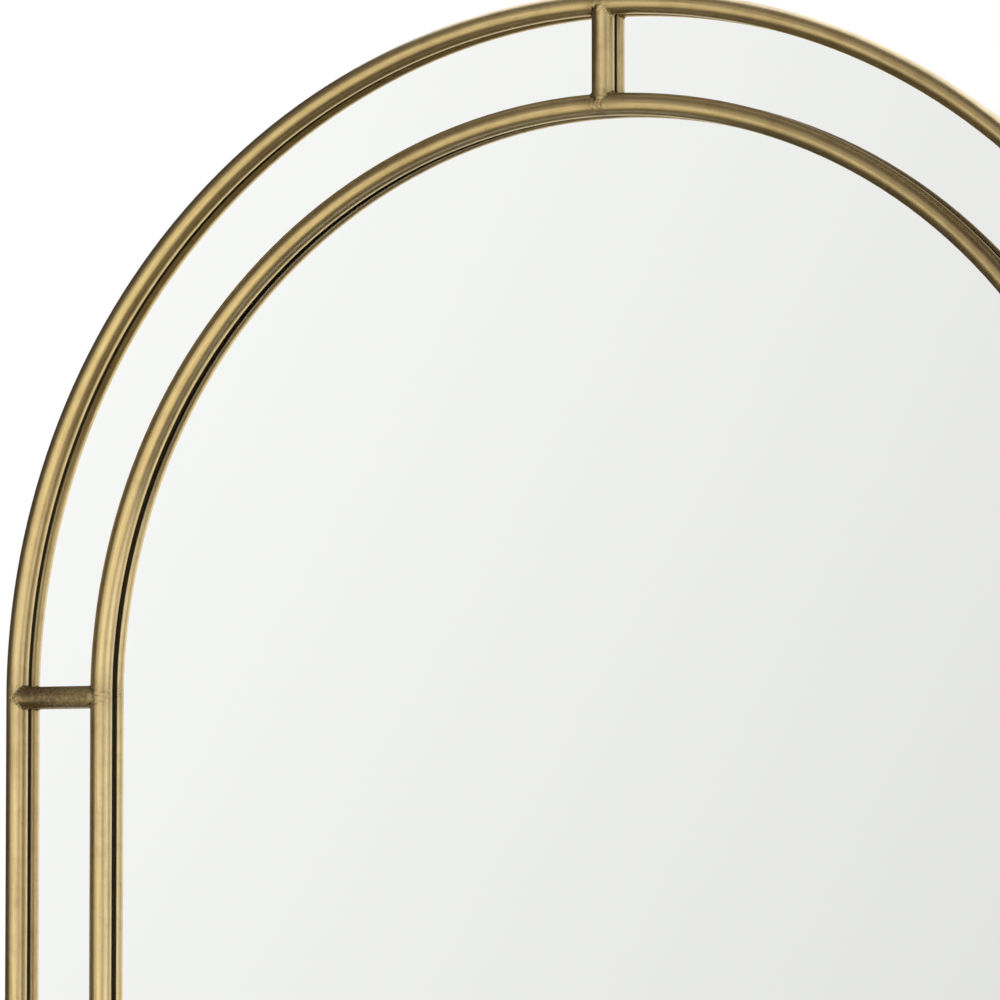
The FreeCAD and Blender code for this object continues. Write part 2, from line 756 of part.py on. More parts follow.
def bar_end_holes(name, level):
    """Round bars through both ends of a cross bar where its rivets go."""
    hole = cylinder(name, "Sizes.rivet_radius", f"2 * {RIM_OUTSIDE}")
    return place(hole, f"-{RIM_OUTSIDE}", f"{BOARD_BACK} + Sizes.rivet_rise", level, ALONG_X)


def cross_bars(hanger_screws):
    """The upper bar, which also takes the hanger screws, and the lower bar."""
    for name in ("upper", "lower"):
        level = f"Sizes.{name}_bar_level"
        bar = cross_bar_blank(f"{name}_bar_blank", level)
        for count, sign in enumerate("+-", start=1):
            drill = bar_end_holes(f"{name}_bar_drill_{count}", f"{level} {sign} Sizes.bar_rivet_reach")
            bar = cut(f"{name}_bar_end_holes_{count}", bar, drill)
        if name == "upper":
            bar = cut("upper_bar_hanger_holes", bar, hanger_screws)
        keep(bar, f"{name}_cross_bar")


def hanger_plate(side, x):
    """A strap plate with a rolled knuckle at its top for the ring's straight side."""
    name = f"{side}_hanger_plate"
    body = new_body(name + "_body")
    half_width = "Sizes.plate_width / 2"
    strap = new_sketch(body, "XZ_Plane", name + "_strap")
    draw_rectangle(strap, f"-{half_width}", "-Sizes.plate_length", half_width, "0")
    pad(body, strap, "Sizes.plate_thickness", reverse=True)
    knuckle = new_sketch(body, "YZ_Plane", name + "_knuckle")
    draw_circle(knuckle, "Sizes.knuckle_radius", "0", "Sizes.knuckle_radius")
    pad(body, knuckle, "Sizes.knuckle_width", both_sides=True)
    bore = new_sketch(body, "YZ_Plane", name + "_bore")
    draw_circle(bore, "Sizes.knuckle_radius", "0", "Sizes.knuckle_bore_radius")
    pocket_through(body, bore)
    holes = new_sketch(body, "XZ_Plane", name + "_holes")
    for drop in ("upper", "lower"):
        draw_circle(holes, "0", f"-Sizes.hanger_screw_{drop}", "Sizes.machine_screw_radius")
    pocket_through(body, holes)
    drilled = body.Tip
    corners = body.newObject("PartDesign::Fillet", name + "_corners")
    corners.Base = (drilled, lower_corner_names(drilled.Shape))
    corners.setExpression("Radius", "Sizes.plate_corner")
    doc.recompute()
    place(body, x, BAR_BACK, HANGER_LEVEL)
    return keep(body, name)


def lower_corner_names(shape):
    """Names of the short edges across the thickness at a plate's lower corners."""
    thickness = number("Sizes.plate_thickness")
    lowest = shape.BoundBox.ZMin
    names = []
    for index, edge in enumerate(shape.Edges, start=1):
        box_of_edge = edge.BoundBox
        at_bottom = box_of_edge.ZMax - lowest < thickness / 2
        if at_bottom and abs(box_of_edge.YLength - thickness) < thickness / 10:
            names.append(f"Edge{index}")
    return names


def draw_ring_path(sketch):
    """The middle line of a D, drawn anticlockwise from the right end of its straight side."""
    half = number("Sizes.ring_half_width")
    corner = number("Sizes.ring_corner")
    foot = corner + number("Sizes.ring_side")
    shoulder = half - corner
    bulge = corner / 2**0.5
    bar_right = FreeCAD.Vector(shoulder, 0, 0)
    bar_left = FreeCAD.Vector(-shoulder, 0, 0)
    left_bulge = FreeCAD.Vector(-shoulder - bulge, bulge - corner, 0)
    left_top = FreeCAD.Vector(-half, -corner, 0)
    left_foot = FreeCAD.Vector(-half, -foot, 0)
    lowest = FreeCAD.Vector(0, -foot - half, 0)
    right_foot = FreeCAD.Vector(half, -foot, 0)
    right_top = FreeCAD.Vector(half, -corner, 0)
    right_bulge = FreeCAD.Vector(shoulder + bulge, bulge - corner, 0)
    pieces = [
        Part.LineSegment(bar_right, bar_left),
        Part.Arc(bar_left, left_bulge, left_top),
        Part.LineSegment(left_top, left_foot),
        Part.Arc(left_foot, lowest, right_foot),
        Part.LineSegment(right_foot, right_top),
        Part.Arc(right_top, right_bulge, bar_right),
    ]
    sketch.addGeometry(pieces, False)
    bar, left_corner, left_side, bow, right_side, right_corner = range(len(pieces))
    for piece in range(len(pieces)):
        following = (piece + 1) % len(pieces)
        sketch.addConstraint(Sketcher.Constraint("Coincident", piece, 2, following, 1))
    shoulder_x = "(Sizes.ring_half_width - Sizes.ring_corner)"
    foot_level = "-(Sizes.ring_corner + Sizes.ring_side)"
    pin_point(sketch, bar, 1, shoulder_x, "0")
    pin_point(sketch, bar, 2, f"-{shoulder_x}", "0")
    pin_point(sketch, left_side, 1, "-Sizes.ring_half_width", "-Sizes.ring_corner")
    pin_point(sketch, left_side, 2, "-Sizes.ring_half_width", foot_level)
    pin_point(sketch, right_side, 1, "Sizes.ring_half_width", foot_level)
    pin_point(sketch, right_side, 2, "Sizes.ring_half_width", "-Sizes.ring_corner")
    bind(sketch, "Radius", (left_corner,), "Sizes.ring_corner")
    bind(sketch, "Radius", (right_corner,), "Sizes.ring_corner")
    bind(sketch, "DistanceY", (-1, 1, bow, 3), foot_level)


def d_ring(side, x):
    """A closed D of round wire hanging from its straight side."""
    name = f"{side}_d_ring"
    body = new_body(name + "_body")
    path = new_sketch(body, "XZ_Plane", name + "_path")
    draw_ring_path(path)
    section = new_sketch(body, "YZ_Plane", name + "_section")
    draw_circle(section, "0", "0", "Sizes.ring_wire_diameter / 2")
    doc.recompute()
    wire = body.newObject("PartDesign::AdditivePipe", name + "_wire")
    wire.Profile = section
    wire.Spine = (path, [])
    doc.recompute()
    place(body, x, KNUCKLE_PLANE, HANGER_LEVEL)
    return keep(body, name)


def hangers():
    """Both hanger plates with their rings, and the screws that hold the plates."""
    sides = {"left": "-Sizes.hanger_reach", "right": "Sizes.hanger_reach"}
    for side, x in sides.items():
        hanger_plate(side, x)
        d_ring(side, x)
    screw_length = "(Sizes.plate_thickness + Sizes.bar_thickness)"
    screw = pan_screw("hanger_screw", "Sizes.machine_screw_radius", screw_length)
    seat = f"{BAR_BACK} + Sizes.plate_thickness"
    places = [
        (x, seat, f"{HANGER_LEVEL} - Sizes.hanger_screw_{drop}", FACING_BACK)
        for x in sides.values()
        for drop in ("upper", "lower")
    ]
    return copies("hanger_screws", screw, places)


def floor_pads():
    """Rubber pads under the base, hollowed to the tube and flat under the band."""
    front = f"({TUBE_PLANE} - {TUBE_RADIUS} + Sizes.pad_front_inset)"
    depth = f"({TUBE_BACK} + Sizes.rim_depth - {front})"
    block = place(box("pad_block", "Sizes.pad_length", depth, RIM_FLOOR), "0", front)
    tube = cylinder("pad_tube_form", TUBE_RADIUS, "Sizes.pad_length")
    place(tube, "0", TUBE_PLANE, OUTER_BASE, ALONG_X)
    pad_master = cut("pad_master", block, tube)
    places = [(f"{sign} * Sizes.pad_reach - Sizes.pad_length / 2", "0", "0") for sign in (-1, 1)]
    copies("floor_pads", pad_master, places)


def check_document():
    """Stop if any object failed to build or any sub-part has a bad shape."""
    doc.recompute()
    for item in doc.Objects:
        if "Invalid" in item.State or "Error" in item.State:
            raise RuntimeError(f"{item.Name} failed: {item.State}")
    for item in nodes:
        shape = item.Shape
        if shape.isNull() or not shape.isValid() or shape.Volume <= 0:
            raise RuntimeError(f"{item.Label} has a bad shape")


def write_parts():
    """Write one file for each sub-part."""
    os.makedirs(PARTS_FOLDER, exist_ok=True)
    for item in nodes:
        item.Shape.exportStep(os.path.join(PARTS_FOLDER, item.Label + ".step"))
        print(f"{item.Label}: {len(item.Shape.Solids)} solid(s), {item.Shape.Volume / 1000:.2f} cm3")
    print(f"{len(nodes)} sub-parts")


write_sheet()
probe = make_probe()
tray_band(tube_frames())
mirror_glass()
setting_blocks()
foam_sheet()
clip_screws = clips()
bumper_screws = bumpers()
backing_board([clip_screws, bumper_screws])
cross_bars(hangers())
floor_pads()
check_document()
write_parts()
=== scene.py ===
import json
import logging
import math
from dataclasses import dataclass
from enum import Enum

import bpy
import numpy as np
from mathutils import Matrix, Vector


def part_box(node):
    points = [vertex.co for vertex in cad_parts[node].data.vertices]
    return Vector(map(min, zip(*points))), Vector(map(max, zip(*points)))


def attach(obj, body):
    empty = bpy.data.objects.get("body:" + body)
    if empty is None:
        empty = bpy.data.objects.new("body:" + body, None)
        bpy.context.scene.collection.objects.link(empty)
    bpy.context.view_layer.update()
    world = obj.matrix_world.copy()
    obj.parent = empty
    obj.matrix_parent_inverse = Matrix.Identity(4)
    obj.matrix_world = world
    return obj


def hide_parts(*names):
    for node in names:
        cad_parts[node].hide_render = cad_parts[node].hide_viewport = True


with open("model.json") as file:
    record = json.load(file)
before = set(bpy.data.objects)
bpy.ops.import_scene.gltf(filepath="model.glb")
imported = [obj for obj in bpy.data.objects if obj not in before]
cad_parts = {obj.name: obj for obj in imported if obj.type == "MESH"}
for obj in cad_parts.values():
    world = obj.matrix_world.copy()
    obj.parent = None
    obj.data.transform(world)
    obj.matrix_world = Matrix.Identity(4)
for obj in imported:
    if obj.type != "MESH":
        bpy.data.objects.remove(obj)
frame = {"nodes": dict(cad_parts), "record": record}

# An arched floor mirror: two round brass tube frames joined by short struts, over one sheet of
# mirror glass in a flat brass tray. Metres, +Z up, the mirror faces -Y and stands on the floor.

LOG = logging.getLogger("floor_mirror")
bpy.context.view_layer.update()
BODY = "frame_and_back"
AROUND_UV = "around_and_along"
# This mesh value holds the weld colour, and on the level struts also their painted shade.
HEAT_AND_SHADE = "weld_heat"
LUMPS = "weld_lumps"
MILLIMETRE = 0.001
SHARP_ANGLE = math.radians(50)
DEPTH = np.array([0.0, 1.0, 0.0])

# Welding leaves its colour and an uneven skin on the tubes. Each has its strength at the joint,
# its reach in metres, and the power that says how abruptly it ends there.
WELD_HEAT = 0.40
HEAT_REACH = 0.011
HEAT_FALL = 2.0
LUMPS_ON_FRAME = 0.80
LUMP_REACH = 0.0105
LUMP_FALL = 5.0
WAVE_STRENGTHS = (0.2, 1.0)

Pair = tuple[float, float]
Triple = tuple[float, float, float]
Quad = tuple[float, float, float, float]
Material = bpy.types.Material
Socket = bpy.types.NodeSocket
Number = float | Socket

# Most of a noise's values lie in this span.
MIDDLE = (0.3, 0.7)


class Side(Enum):
    """The two sides of the mirror, with the sign of X on each."""

    LEFT = -1
    RIGHT = 1

    @property
    def word(self) -> str:
        """The side's name as piece names use it."""
        return self.name.lower()


# Meshes from arrays
# ------------------


@dataclass
class TubeGrid:
    """Rings of points carried along a path.

    points has the shape (rings, points in a ring, 3). along is each ring's distance down the
    path, and around is the distance round the tube at each point, with one more entry for the
    seam where the ring closes. heat is how far each point was coloured by welding, and
    on the level struts how far it is painted darker as shade, from 0 to 1, and lumps how far the
    weld's uneven skin reaches it.
    """

    points: np.ndarray
    along: np.ndarray
    around: np.ndarray
    heat: np.ndarray
    lumps: np.ndarray


def quad_indices(rings: int, ring_size: int) -> np.ndarray:
    """Corner indices of the quads between rings, each ring closed on itself.

    Args:
        rings: How many rings the grid has.
        ring_size: How many points each ring has.

    Returns:
        An array of shape (quads, 4).
    """
    row, column = np.meshgrid(np.arange(rings - 1), np.arange(ring_size), indexing="ij")
    following = (column + 1) % ring_size
    first = row * ring_size
    second = (row + 1) * ring_size
    corners = [first + column, first + following, second + following, second + column]
    return np.stack(corners, axis=-1).reshape(-1, 4)


def quad_uvs(along: np.ndarray, around: np.ndarray) -> np.ndarray:
    """Texture positions of the same quads' corners: u runs around the tube and v along it.

    Args:
        along: Each ring's distance down the path.
        around: Each point's distance round the ring, with the seam's repeat at the end.

    Returns:
        An array of shape (quads, 4, 2), in metres.
    """
    row, column = np.meshgrid(np.arange(len(along) - 1), np.arange(len(around) - 1), indexing="ij")
    u = np.stack([around[column], around[column + 1], around[column + 1], around[column]], axis=-1)
    v = np.stack([along[row], along[row], along[row + 1], along[row + 1]], axis=-1)
    return np.stack([u, v], axis=-1).reshape(-1, 4, 2)


def signed_volume(points: np.ndarray, quads: np.ndarray) -> float:
    """Six times the volume that quads close round the origin.

    Args:
        points: The corners' places, shape (points, 3).
        quads: Corner indices, shape (quads, 4).

    Returns:
        The signed sum, negative if the quads face inwards.
    """
    a, b, c, d = (points[quads[:, corner]] for corner in range(4))
    first = np.einsum("ij,ij->i", a, np.cross(b, c))
    second = np.einsum("ij,ij->i", a, np.cross(c, d))
    return float(first.sum() + second.sum())


def tube_piece(name: str, grid: TubeGrid, closed_loop: bool = False) -> bpy.types.Object:
    """Make a mesh object from a tube's rings, capped at both ends or closed on itself.

    Args:
        name: The piece's name.
        grid: The rings.
        closed_loop: Whether the last ring lies on the first, as round a ring of wire.

    Returns:
        The new object, at the origin.
    """
    rings, ring_size, _ = grid.points.shape
    quads = quad_indices(rings, ring_size)
    uvs = quad_uvs(grid.along, grid.around)
    points = grid.points.reshape(-1, 3)
    if closed_loop:
        quads = quads % ((rings - 1) * ring_size)
        points = points[: (rings - 1) * ring_size]
    if signed_volume(points - points.mean(axis=0), quads) < 0:
        quads = quads[:, ::-1]
        uvs = uvs[:, ::-1]
    faces = quads.tolist()
    flat_uvs = [uvs.reshape(-1, 2)]
    if not closed_loop:
        caps = [np.arange(ring_size), (rings - 1) * ring_size + np.arange(ring_size)]
        outward = quads[0, 1] == quads[0, 0] + 1
        ordered = [caps[0][::-1], caps[1]] if outward else [caps[0], caps[1][::-1]]
        faces += [cap.tolist() for cap in ordered]
        flat_uvs += [np.zeros((ring_size, 2)), np.zeros((ring_size, 2))]
    mesh = bpy.data.meshes.new(name)
    mesh.from_pydata(points.tolist(), [], faces)
    layer = mesh.uv_layers.new(name=AROUND_UV)
    layer.data.foreach_set("uv", np.concatenate(flat_uvs).astype(np.float32).ravel())
    for label, values in ((HEAT_AND_SHADE, grid.heat), (LUMPS, grid.lumps)):
        attribute = mesh.attributes.new(label, "FLOAT", "POINT")
        attribute.data.foreach_set("value", values.reshape(-1)[: len(points)].astype(np.float32))
    mesh.polygons.foreach_set("use_smooth", np.ones(len(mesh.polygons), dtype=bool))
    mesh.set_sharp_from_angle(angle=SHARP_ANGLE)
    mesh.update()
    piece = bpy.data.objects.new(name, mesh)
    bpy.context.scene.collection.objects.link(piece)
    return piece


def nearness(points: np.ndarray, places: list[np.ndarray], reach: float, fall: float) -> np.ndarray:
    """How near points are to the nearest of some places: exp(-(distance / reach)^fall).

    Args:
        points: The points, shape (..., 3).
        places: The places.
        reach: The distance at which nearness has dropped to 1/e.
        fall: The power that says how abruptly it drops there.

    Returns:
        Values from 0 to 1, shape (...).
    """
    near = np.zeros(points.shape[:-1])
    for place in places:
        distance = np.linalg.norm(points - place, axis=-1)
        near = np.maximum(near, np.exp(-((distance / reach) ** fall)))
    return near


def weld_marks(points: np.ndarray, welds: list[np.ndarray]) -> tuple[np.ndarray, np.ndarray]:
    """How far welding coloured points, and how far it roughened their skin."""
    heat = nearness(points, welds, HEAT_REACH, HEAT_FALL)
    return WELD_HEAT * heat, nearness(points, welds, LUMP_REACH, LUMP_FALL)


def ring_angles(count: int) -> np.ndarray:
    """Evenly spaced angles round a tube, from its outer side towards the back."""
    return np.linspace(0, 2 * np.pi, count, endpoint=False)


def ring_distances(radius: float, count: int) -> np.ndarray:
    """Distances round a tube at its points, with the seam's repeat at the end."""
    return radius * np.linspace(0, 2 * np.pi, count + 1)


@dataclass(frozen=True)
class Placing:
    """Where a new piece belongs: its body, its material slot and the CAD node that it stands for."""

    slot: str
    body: str = BODY
    node: str = ""


def add_tube(
    name: str, grid: TubeGrid, finish: Material, placing: Placing, closed_loop: bool = False
) -> None:
    """Make a tube, dress it, hang it on its CAD body and hide the node that it stands for.

    Args:
        name: The piece's name.
        grid: The rings.
        finish: The tube's material.
        placing: Where the piece belongs.
        closed_loop: Whether the last ring lies on the first.
    """
    piece = tube_piece(name, grid, closed_loop)
    piece.data.materials.append(finish)
    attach(piece, placing.body)
    if placing.node:
        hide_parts(placing.node)
    LOG.info("%s: %d faces on %s", piece.name, len(piece.data.polygons), placing.body)


# Finishes
# --------


class NodeBench:
    """Lays out shader nodes and joins them."""

    def __init__(self, tree: bpy.types.NodeTree) -> None:
        """Start from an empty tree."""
        self.tree = tree
        self.tree.nodes.clear()

    def add(self, kind: str, inputs: dict | None = None, **settings: object) -> bpy.types.Node:
        """Add a node, set its properties and fill or join its inputs.

        Args:
            kind: The node's type without the "ShaderNode" in front.
            inputs: Values or output sockets by input name or number.
            settings: Properties of the node itself.

        Returns:
            The new node.
        """
        node = self.tree.nodes.new("ShaderNode" + kind)
        for key, value in settings.items():
            setattr(node, key, value)
        for key, value in (inputs or {}).items():
            if isinstance(value, Socket):
                self.tree.links.new(value, node.inputs[key])
            else:
                node.inputs[key].default_value = value
        return node

    def math(self, operation: str, *values: Number, clamp: bool = False) -> Socket:
        """Arithmetic on numbers or sockets."""
        node = self.add("Math", dict(enumerate(values)), operation=operation, use_clamp=clamp)
        return node.outputs[0]

    def product(self, *factors: Number) -> Socket:
        """Two or three numbers or sockets multiplied together, the first two first."""
        first = self.math("MULTIPLY", *factors[:2])
        return self.math("MULTIPLY", first, factors[2]) if factors[2:] else first

    def scaled(self, vector: Triple | Socket, factor: Number) -> Socket:
        """A vector times a number."""
        inputs = {"Vector": vector, "Scale": factor}
        return self.add("VectorMath", inputs, operation="SCALE").outputs[0]

    def total(self, first: Triple | Socket, second: Triple | Socket) -> Socket:
        """The sum of two vectors."""
        return self.add("VectorMath", {0: first, 1: second}, operation="ADD").outputs[0]

    def blend(self, factor: Number, first: Quad | Socket, second: Quad | Socket) -> Socket:
        """Mix two colours by a factor."""
        return self.add("Mix", {0: factor, 6: first, 7: second}, data_type="RGBA").outputs[2]

    def fit(
        self, value: Socket, low: float, high: float, to_low: float = 0.0, to_high: float = 1.0
    ) -> Socket:
        """Carry a value smoothly from one range to another, flat beyond its ends."""
        inputs = {0: value, 1: low, 2: high, 3: to_low, 4: to_high}
        return self.add("MapRange", inputs, interpolation_type="SMOOTHSTEP").outputs["Result"]

    def window(self, value: Socket, low: float, high: float, softness: float) -> Socket:
        """1 between two values and 0 outside them, smooth for the softness to both sides."""
        rising = self.fit(value, low - softness, low + softness)
        return self.product(rising, self.fit(value, high - softness, high + softness, 1.0, 0.0))

    def noise(self, vector: Socket, scale: float, detail: float = 3.0, roughness: float = 0.5) -> Socket:
        """Soft noise from 0 to 1 over positions."""
        inputs = {"Vector": vector, "Scale": scale, "Detail": detail, "Roughness": roughness}
        return self.add("TexNoise", inputs).outputs[0]

    def stretched(self, vector: Socket, scale: Triple) -> Socket:
        """Positions multiplied by a scale for each direction."""
        inputs = {"Vector": vector, "Scale": scale}
        return self.add("Mapping", inputs, vector_type="POINT").outputs["Vector"]

    def choice(self, share: Socket, first: bpy.types.Node, second: bpy.types.Node) -> bpy.types.Node:
        """Two shaders, the first where the share is 0 and the second where it is 1."""
        return self.add("MixShader", {0: share, 1: first.outputs[0], 2: second.outputs[0]})

    def place(self) -> Socket:
        """Positions on the object, in metres."""
        return self.add("TexCoord").outputs["Object"]

    def facing(self) -> Socket:
        """How far the surface itself faces the back, from -1 at the front to 1."""
        normal = self.add("TexCoord").outputs["Normal"]
        return self.add("SeparateXYZ", {"Vector": normal}).outputs["Y"]

    def attribute(self, name: str) -> Socket:
        """One of the mesh's own values, carried by its points."""
        return self.add("Attribute", attribute_name=name).outputs["Fac"]

    def bump(self, height: Socket, millimetres: float) -> Socket:
        """A normal tilted by a height field whose full swing is so many millimetres."""
        inputs = {"Height": height, "Distance": millimetres * MILLIMETRE, "Strength": 1.0}
        return self.add("Bump", inputs).outputs["Normal"]


def new_material(name: str) -> tuple[Material, NodeBench]:
    """An empty node material.

    Args:
        name: The material's name.

    Returns:
        The material and the bench that fills it.
    """
    material = bpy.data.materials.new(name)
    material.use_nodes = True
    return material, NodeBench(material.node_tree)


def rgba(colour: Triple) -> Quad:
    """A colour with full opacity."""
    return (*colour, 1.0)


@dataclass(frozen=True)
class Finish:
    """A procedural material. Each kind says how its surface looks.

    A scale is in cycles per metre and a relief in millimetres. Four numbers are a ramp: the
    span that is read and the span that it is carried to.
    """

    name: str

    def look(self, bench: NodeBench) -> dict:
        """The surface's inputs, by name."""
        raise NotImplementedError

    def build(self) -> Material:
        """Make the material.

        Returns:
            The material.
        """
        material, bench = new_material(self.name)
        shader = bench.add("BsdfPrincipled", self.look(bench))
        bench.add("OutputMaterial", {"Surface": shader.outputs[0]})
        return material


@dataclass(frozen=True)
class BrushedBrass(Finish):
    """Lacquered satin brass tube, brushed lengthwise, with a thin brown patina, weld colour and painted
    shade.

    The side that faces the glass is painted near black as shade and has no lacquer: back_shade_from
    is how far a surface faces the back where this painted shade begins, and back_shade_over how much
    further it is full. The level struts get the weld's brown as painted shade too. The heights weigh
    brush lines, specks, weld scale and weld beads.
    """

    name: str = "brushed_brass"
    gold: Triple = (0.760, 0.605, 0.300)
    aged: Triple = (0.430, 0.300, 0.125)
    # Weld colour, also painted on the level struts as shade.
    weld_and_shade_brown: Triple = (0.250, 0.165, 0.080)
    # Near black: the colour of weld pits, and painted shade on the side that faces the glass.
    pit_dark_and_back_shade: Triple = (0.035, 0.026, 0.014)
    roughness: float = 0.30
    anisotropy: float = 0.70
    lacquer: float = 0.65
    lacquer_roughness: float = 0.14
    weld_roughness: float = 0.34
    # Where the painted shade on the back of the tube begins, and how far it spreads.
    back_shade_from: float = 0.65
    back_shade_over: float = 0.10
    tarnish: Quad = (0.42, 0.75, 0.0, 0.35)
    streak_dirt: Quad = (0.35, 0.75, 0.0, 0.30)
    speck_dirt: Quad = (0.66, 0.74, 0.0, 0.55)
    scorch_and_shade: Quad = (0.35, 0.65, 0.50, 1.0)
    on_weld: Quad = (0.6, 1.0, 0.0, 1.0)
    pitting: Quad = (0.56, 0.66, 0.0, 0.90)
    streak_gloss: Pair = (-0.03, 0.04)
    streaks_around: float = 1100.0
    streaks_along: float = 16.0
    patina_scale: float = 70.0
    mottle_scale: float = 490.0
    speck_scale: float = 700.0
    bead_scale: float = 420.0
    pit_scale: float = 900.0
    streak_height: float = 0.35
    speck_height: float = -0.15
    scale_height: float = 3.0
    bead_height: float = 26.0
    relief: float = 0.03

    def look(self, bench: NodeBench) -> dict:
        """Brush lines follow the tube's own map, patina and specks lie in the metal's place.

        Args:
            bench: The material's bench.

        Returns:
            The surface's inputs.
        """
        around_along = bench.add("UVMap", uv_map=AROUND_UV).outputs["UV"]
        place = bench.place()
        streak_place = bench.stretched(around_along, (self.streaks_around, self.streaks_along, 1.0))
        streaks = bench.noise(streak_place, 1.0, detail=4.0, roughness=0.6)
        patina = bench.noise(place, self.patina_scale, detail=5.0, roughness=0.62)
        mottle = bench.noise(place, self.mottle_scale, detail=3.0, roughness=0.6)
        specks = bench.noise(place, self.speck_scale, detail=2.0)
        beads = bench.noise(place, self.bead_scale, detail=1.5, roughness=0.45)
        pits = bench.noise(place, self.pit_scale, detail=1.0)
        heat = bench.attribute(HEAT_AND_SHADE)
        lumps = bench.attribute(LUMPS)

        age = bench.math("ADD", bench.fit(patina, *self.tarnish), bench.fit(streaks, *self.streak_dirt))
        age = bench.math("ADD", age, bench.fit(specks, *self.speck_dirt), clamp=True)
        # Weld colour near the joints, and painted shade along the level struts.
        scorch_and_shade = bench.product(heat, bench.fit(mottle, *self.scorch_and_shade))
        pits = bench.product(bench.fit(lumps, *self.on_weld), bench.fit(pits, *self.pitting))
        # Painted shade: where the surface faces the back, towards the glass, the colour goes near black and
        # the lacquer goes.
        back_shade = bench.fit(bench.facing(), self.back_shade_from, self.back_shade_from + self.back_shade_over)
        colour = bench.blend(age, rgba(self.gold), rgba(self.aged))
        colour = bench.blend(scorch_and_shade, colour, rgba(self.weld_and_shade_brown))
        colour = bench.blend(pits, colour, rgba(self.pit_dark_and_back_shade))
        colour = bench.blend(back_shade, colour, rgba(self.pit_dark_and_back_shade))

        roughness = bench.math("ADD", self.roughness, bench.fit(streaks, *MIDDLE, *self.streak_gloss))
        roughness = bench.math("ADD", roughness, bench.product(scorch_and_shade, self.weld_roughness))
        lines = bench.product(streaks, self.streak_height)
        height = bench.math("ADD", lines, bench.product(specks, self.speck_height))
        height = bench.math("ADD", height, bench.product(heat, mottle, self.scale_height))
        height = bench.math("ADD", height, bench.product(lumps, beads, self.bead_height))
        tangent = bench.add("Tangent", direction_type="UV_MAP", uv_map=AROUND_UV).outputs["Tangent"]
        return {
            "Base Color": colour,
            "Metallic": 1.0,
            "Roughness": roughness,
            "Anisotropic": self.anisotropy,
            "Tangent": tangent,
            "Coat Weight": bench.fit(back_shade, 0.0, 1.0, self.lacquer, 0.0),
            "Coat Roughness": self.lacquer_roughness,
            "Normal": bench.bump(height, self.relief),
        }


@dataclass(frozen=True)
class SatinBand(Finish):
    """Flat brass strip with long rolling marks and the same thin patina as the tubes."""

    name: str = "satin_band"
    gold: Triple = (0.540, 0.430, 0.235)
    aged: Triple = (0.420, 0.320, 0.170)
    roughness: Pair = (0.31, 0.44)
    tarnish: Quad = (0.40, 0.72, 0.0, 0.6)
    rolled_dirt: float = 0.25
    rolling: Triple = (30.0, 1400.0, 30.0)
    patina_scale: float = 90.0
    relief: float = 0.02

    def look(self, bench: NodeBench) -> dict:
        """Long rolling marks and soft patches of patina.

        Args:
            bench: The material's bench.

        Returns:
            The surface's inputs.
        """
        place = bench.place()
        rolled = bench.noise(bench.stretched(place, self.rolling), 1.0)
        patina = bench.noise(place, self.patina_scale, detail=5.0, roughness=0.6)
        dirt = bench.fit(rolled, *MIDDLE, 0.0, self.rolled_dirt)
        age = bench.math("ADD", bench.fit(patina, *self.tarnish), dirt)
        return {
            "Base Color": bench.blend(age, rgba(self.gold), rgba(self.aged)),
            "Metallic": 1.0,
            "Roughness": bench.fit(patina, *MIDDLE, *self.roughness),
            "Normal": bench.bump(rolled, self.relief),
        }


@dataclass(frozen=True)
class SilveredGlass(Finish):
    """Mirror glass: a clean reflecting face, green-tinged ground edges, and grey paint behind."""

    name: str = "silvered_glass"
    silver: Triple = (0.930, 0.938, 0.926)
    hazed: Triple = (0.915, 0.930, 0.918)
    edge_green: Triple = (0.30, 0.46, 0.40)
    backing_grey: Triple = (0.27, 0.28, 0.30)
    face_ramp: Quad = (-0.98, -0.90, 1.0, 0.0)
    back_ramp: Quad = (0.90, 0.98, 0.0, 1.0)
    edge_roughness: float = 0.22
    haze: float = 0.12
    haze_scale: float = 9.0

    def look(self, bench: NodeBench) -> dict:
        """The surface's own direction tells the face from the edges and the back.

        Args:
            bench: The material's bench.

        Returns:
            The surface's inputs.
        """
        facing = bench.facing()
        face = bench.fit(facing, *self.face_ramp)
        back = bench.fit(facing, *self.back_ramp)
        haze = bench.fit(bench.noise(bench.place(), self.haze_scale, detail=4.0), *MIDDLE, 0.0, self.haze)
        rim = bench.blend(back, rgba(self.edge_green), rgba(self.backing_grey))
        clean = bench.blend(haze, rgba(self.silver), rgba(self.hazed))
        return {
            "Base Color": bench.blend(face, rim, clean),
            "Metallic": face,
            "Roughness": bench.fit(face, 0.0, 1.0, self.edge_roughness, 0.0),
        }


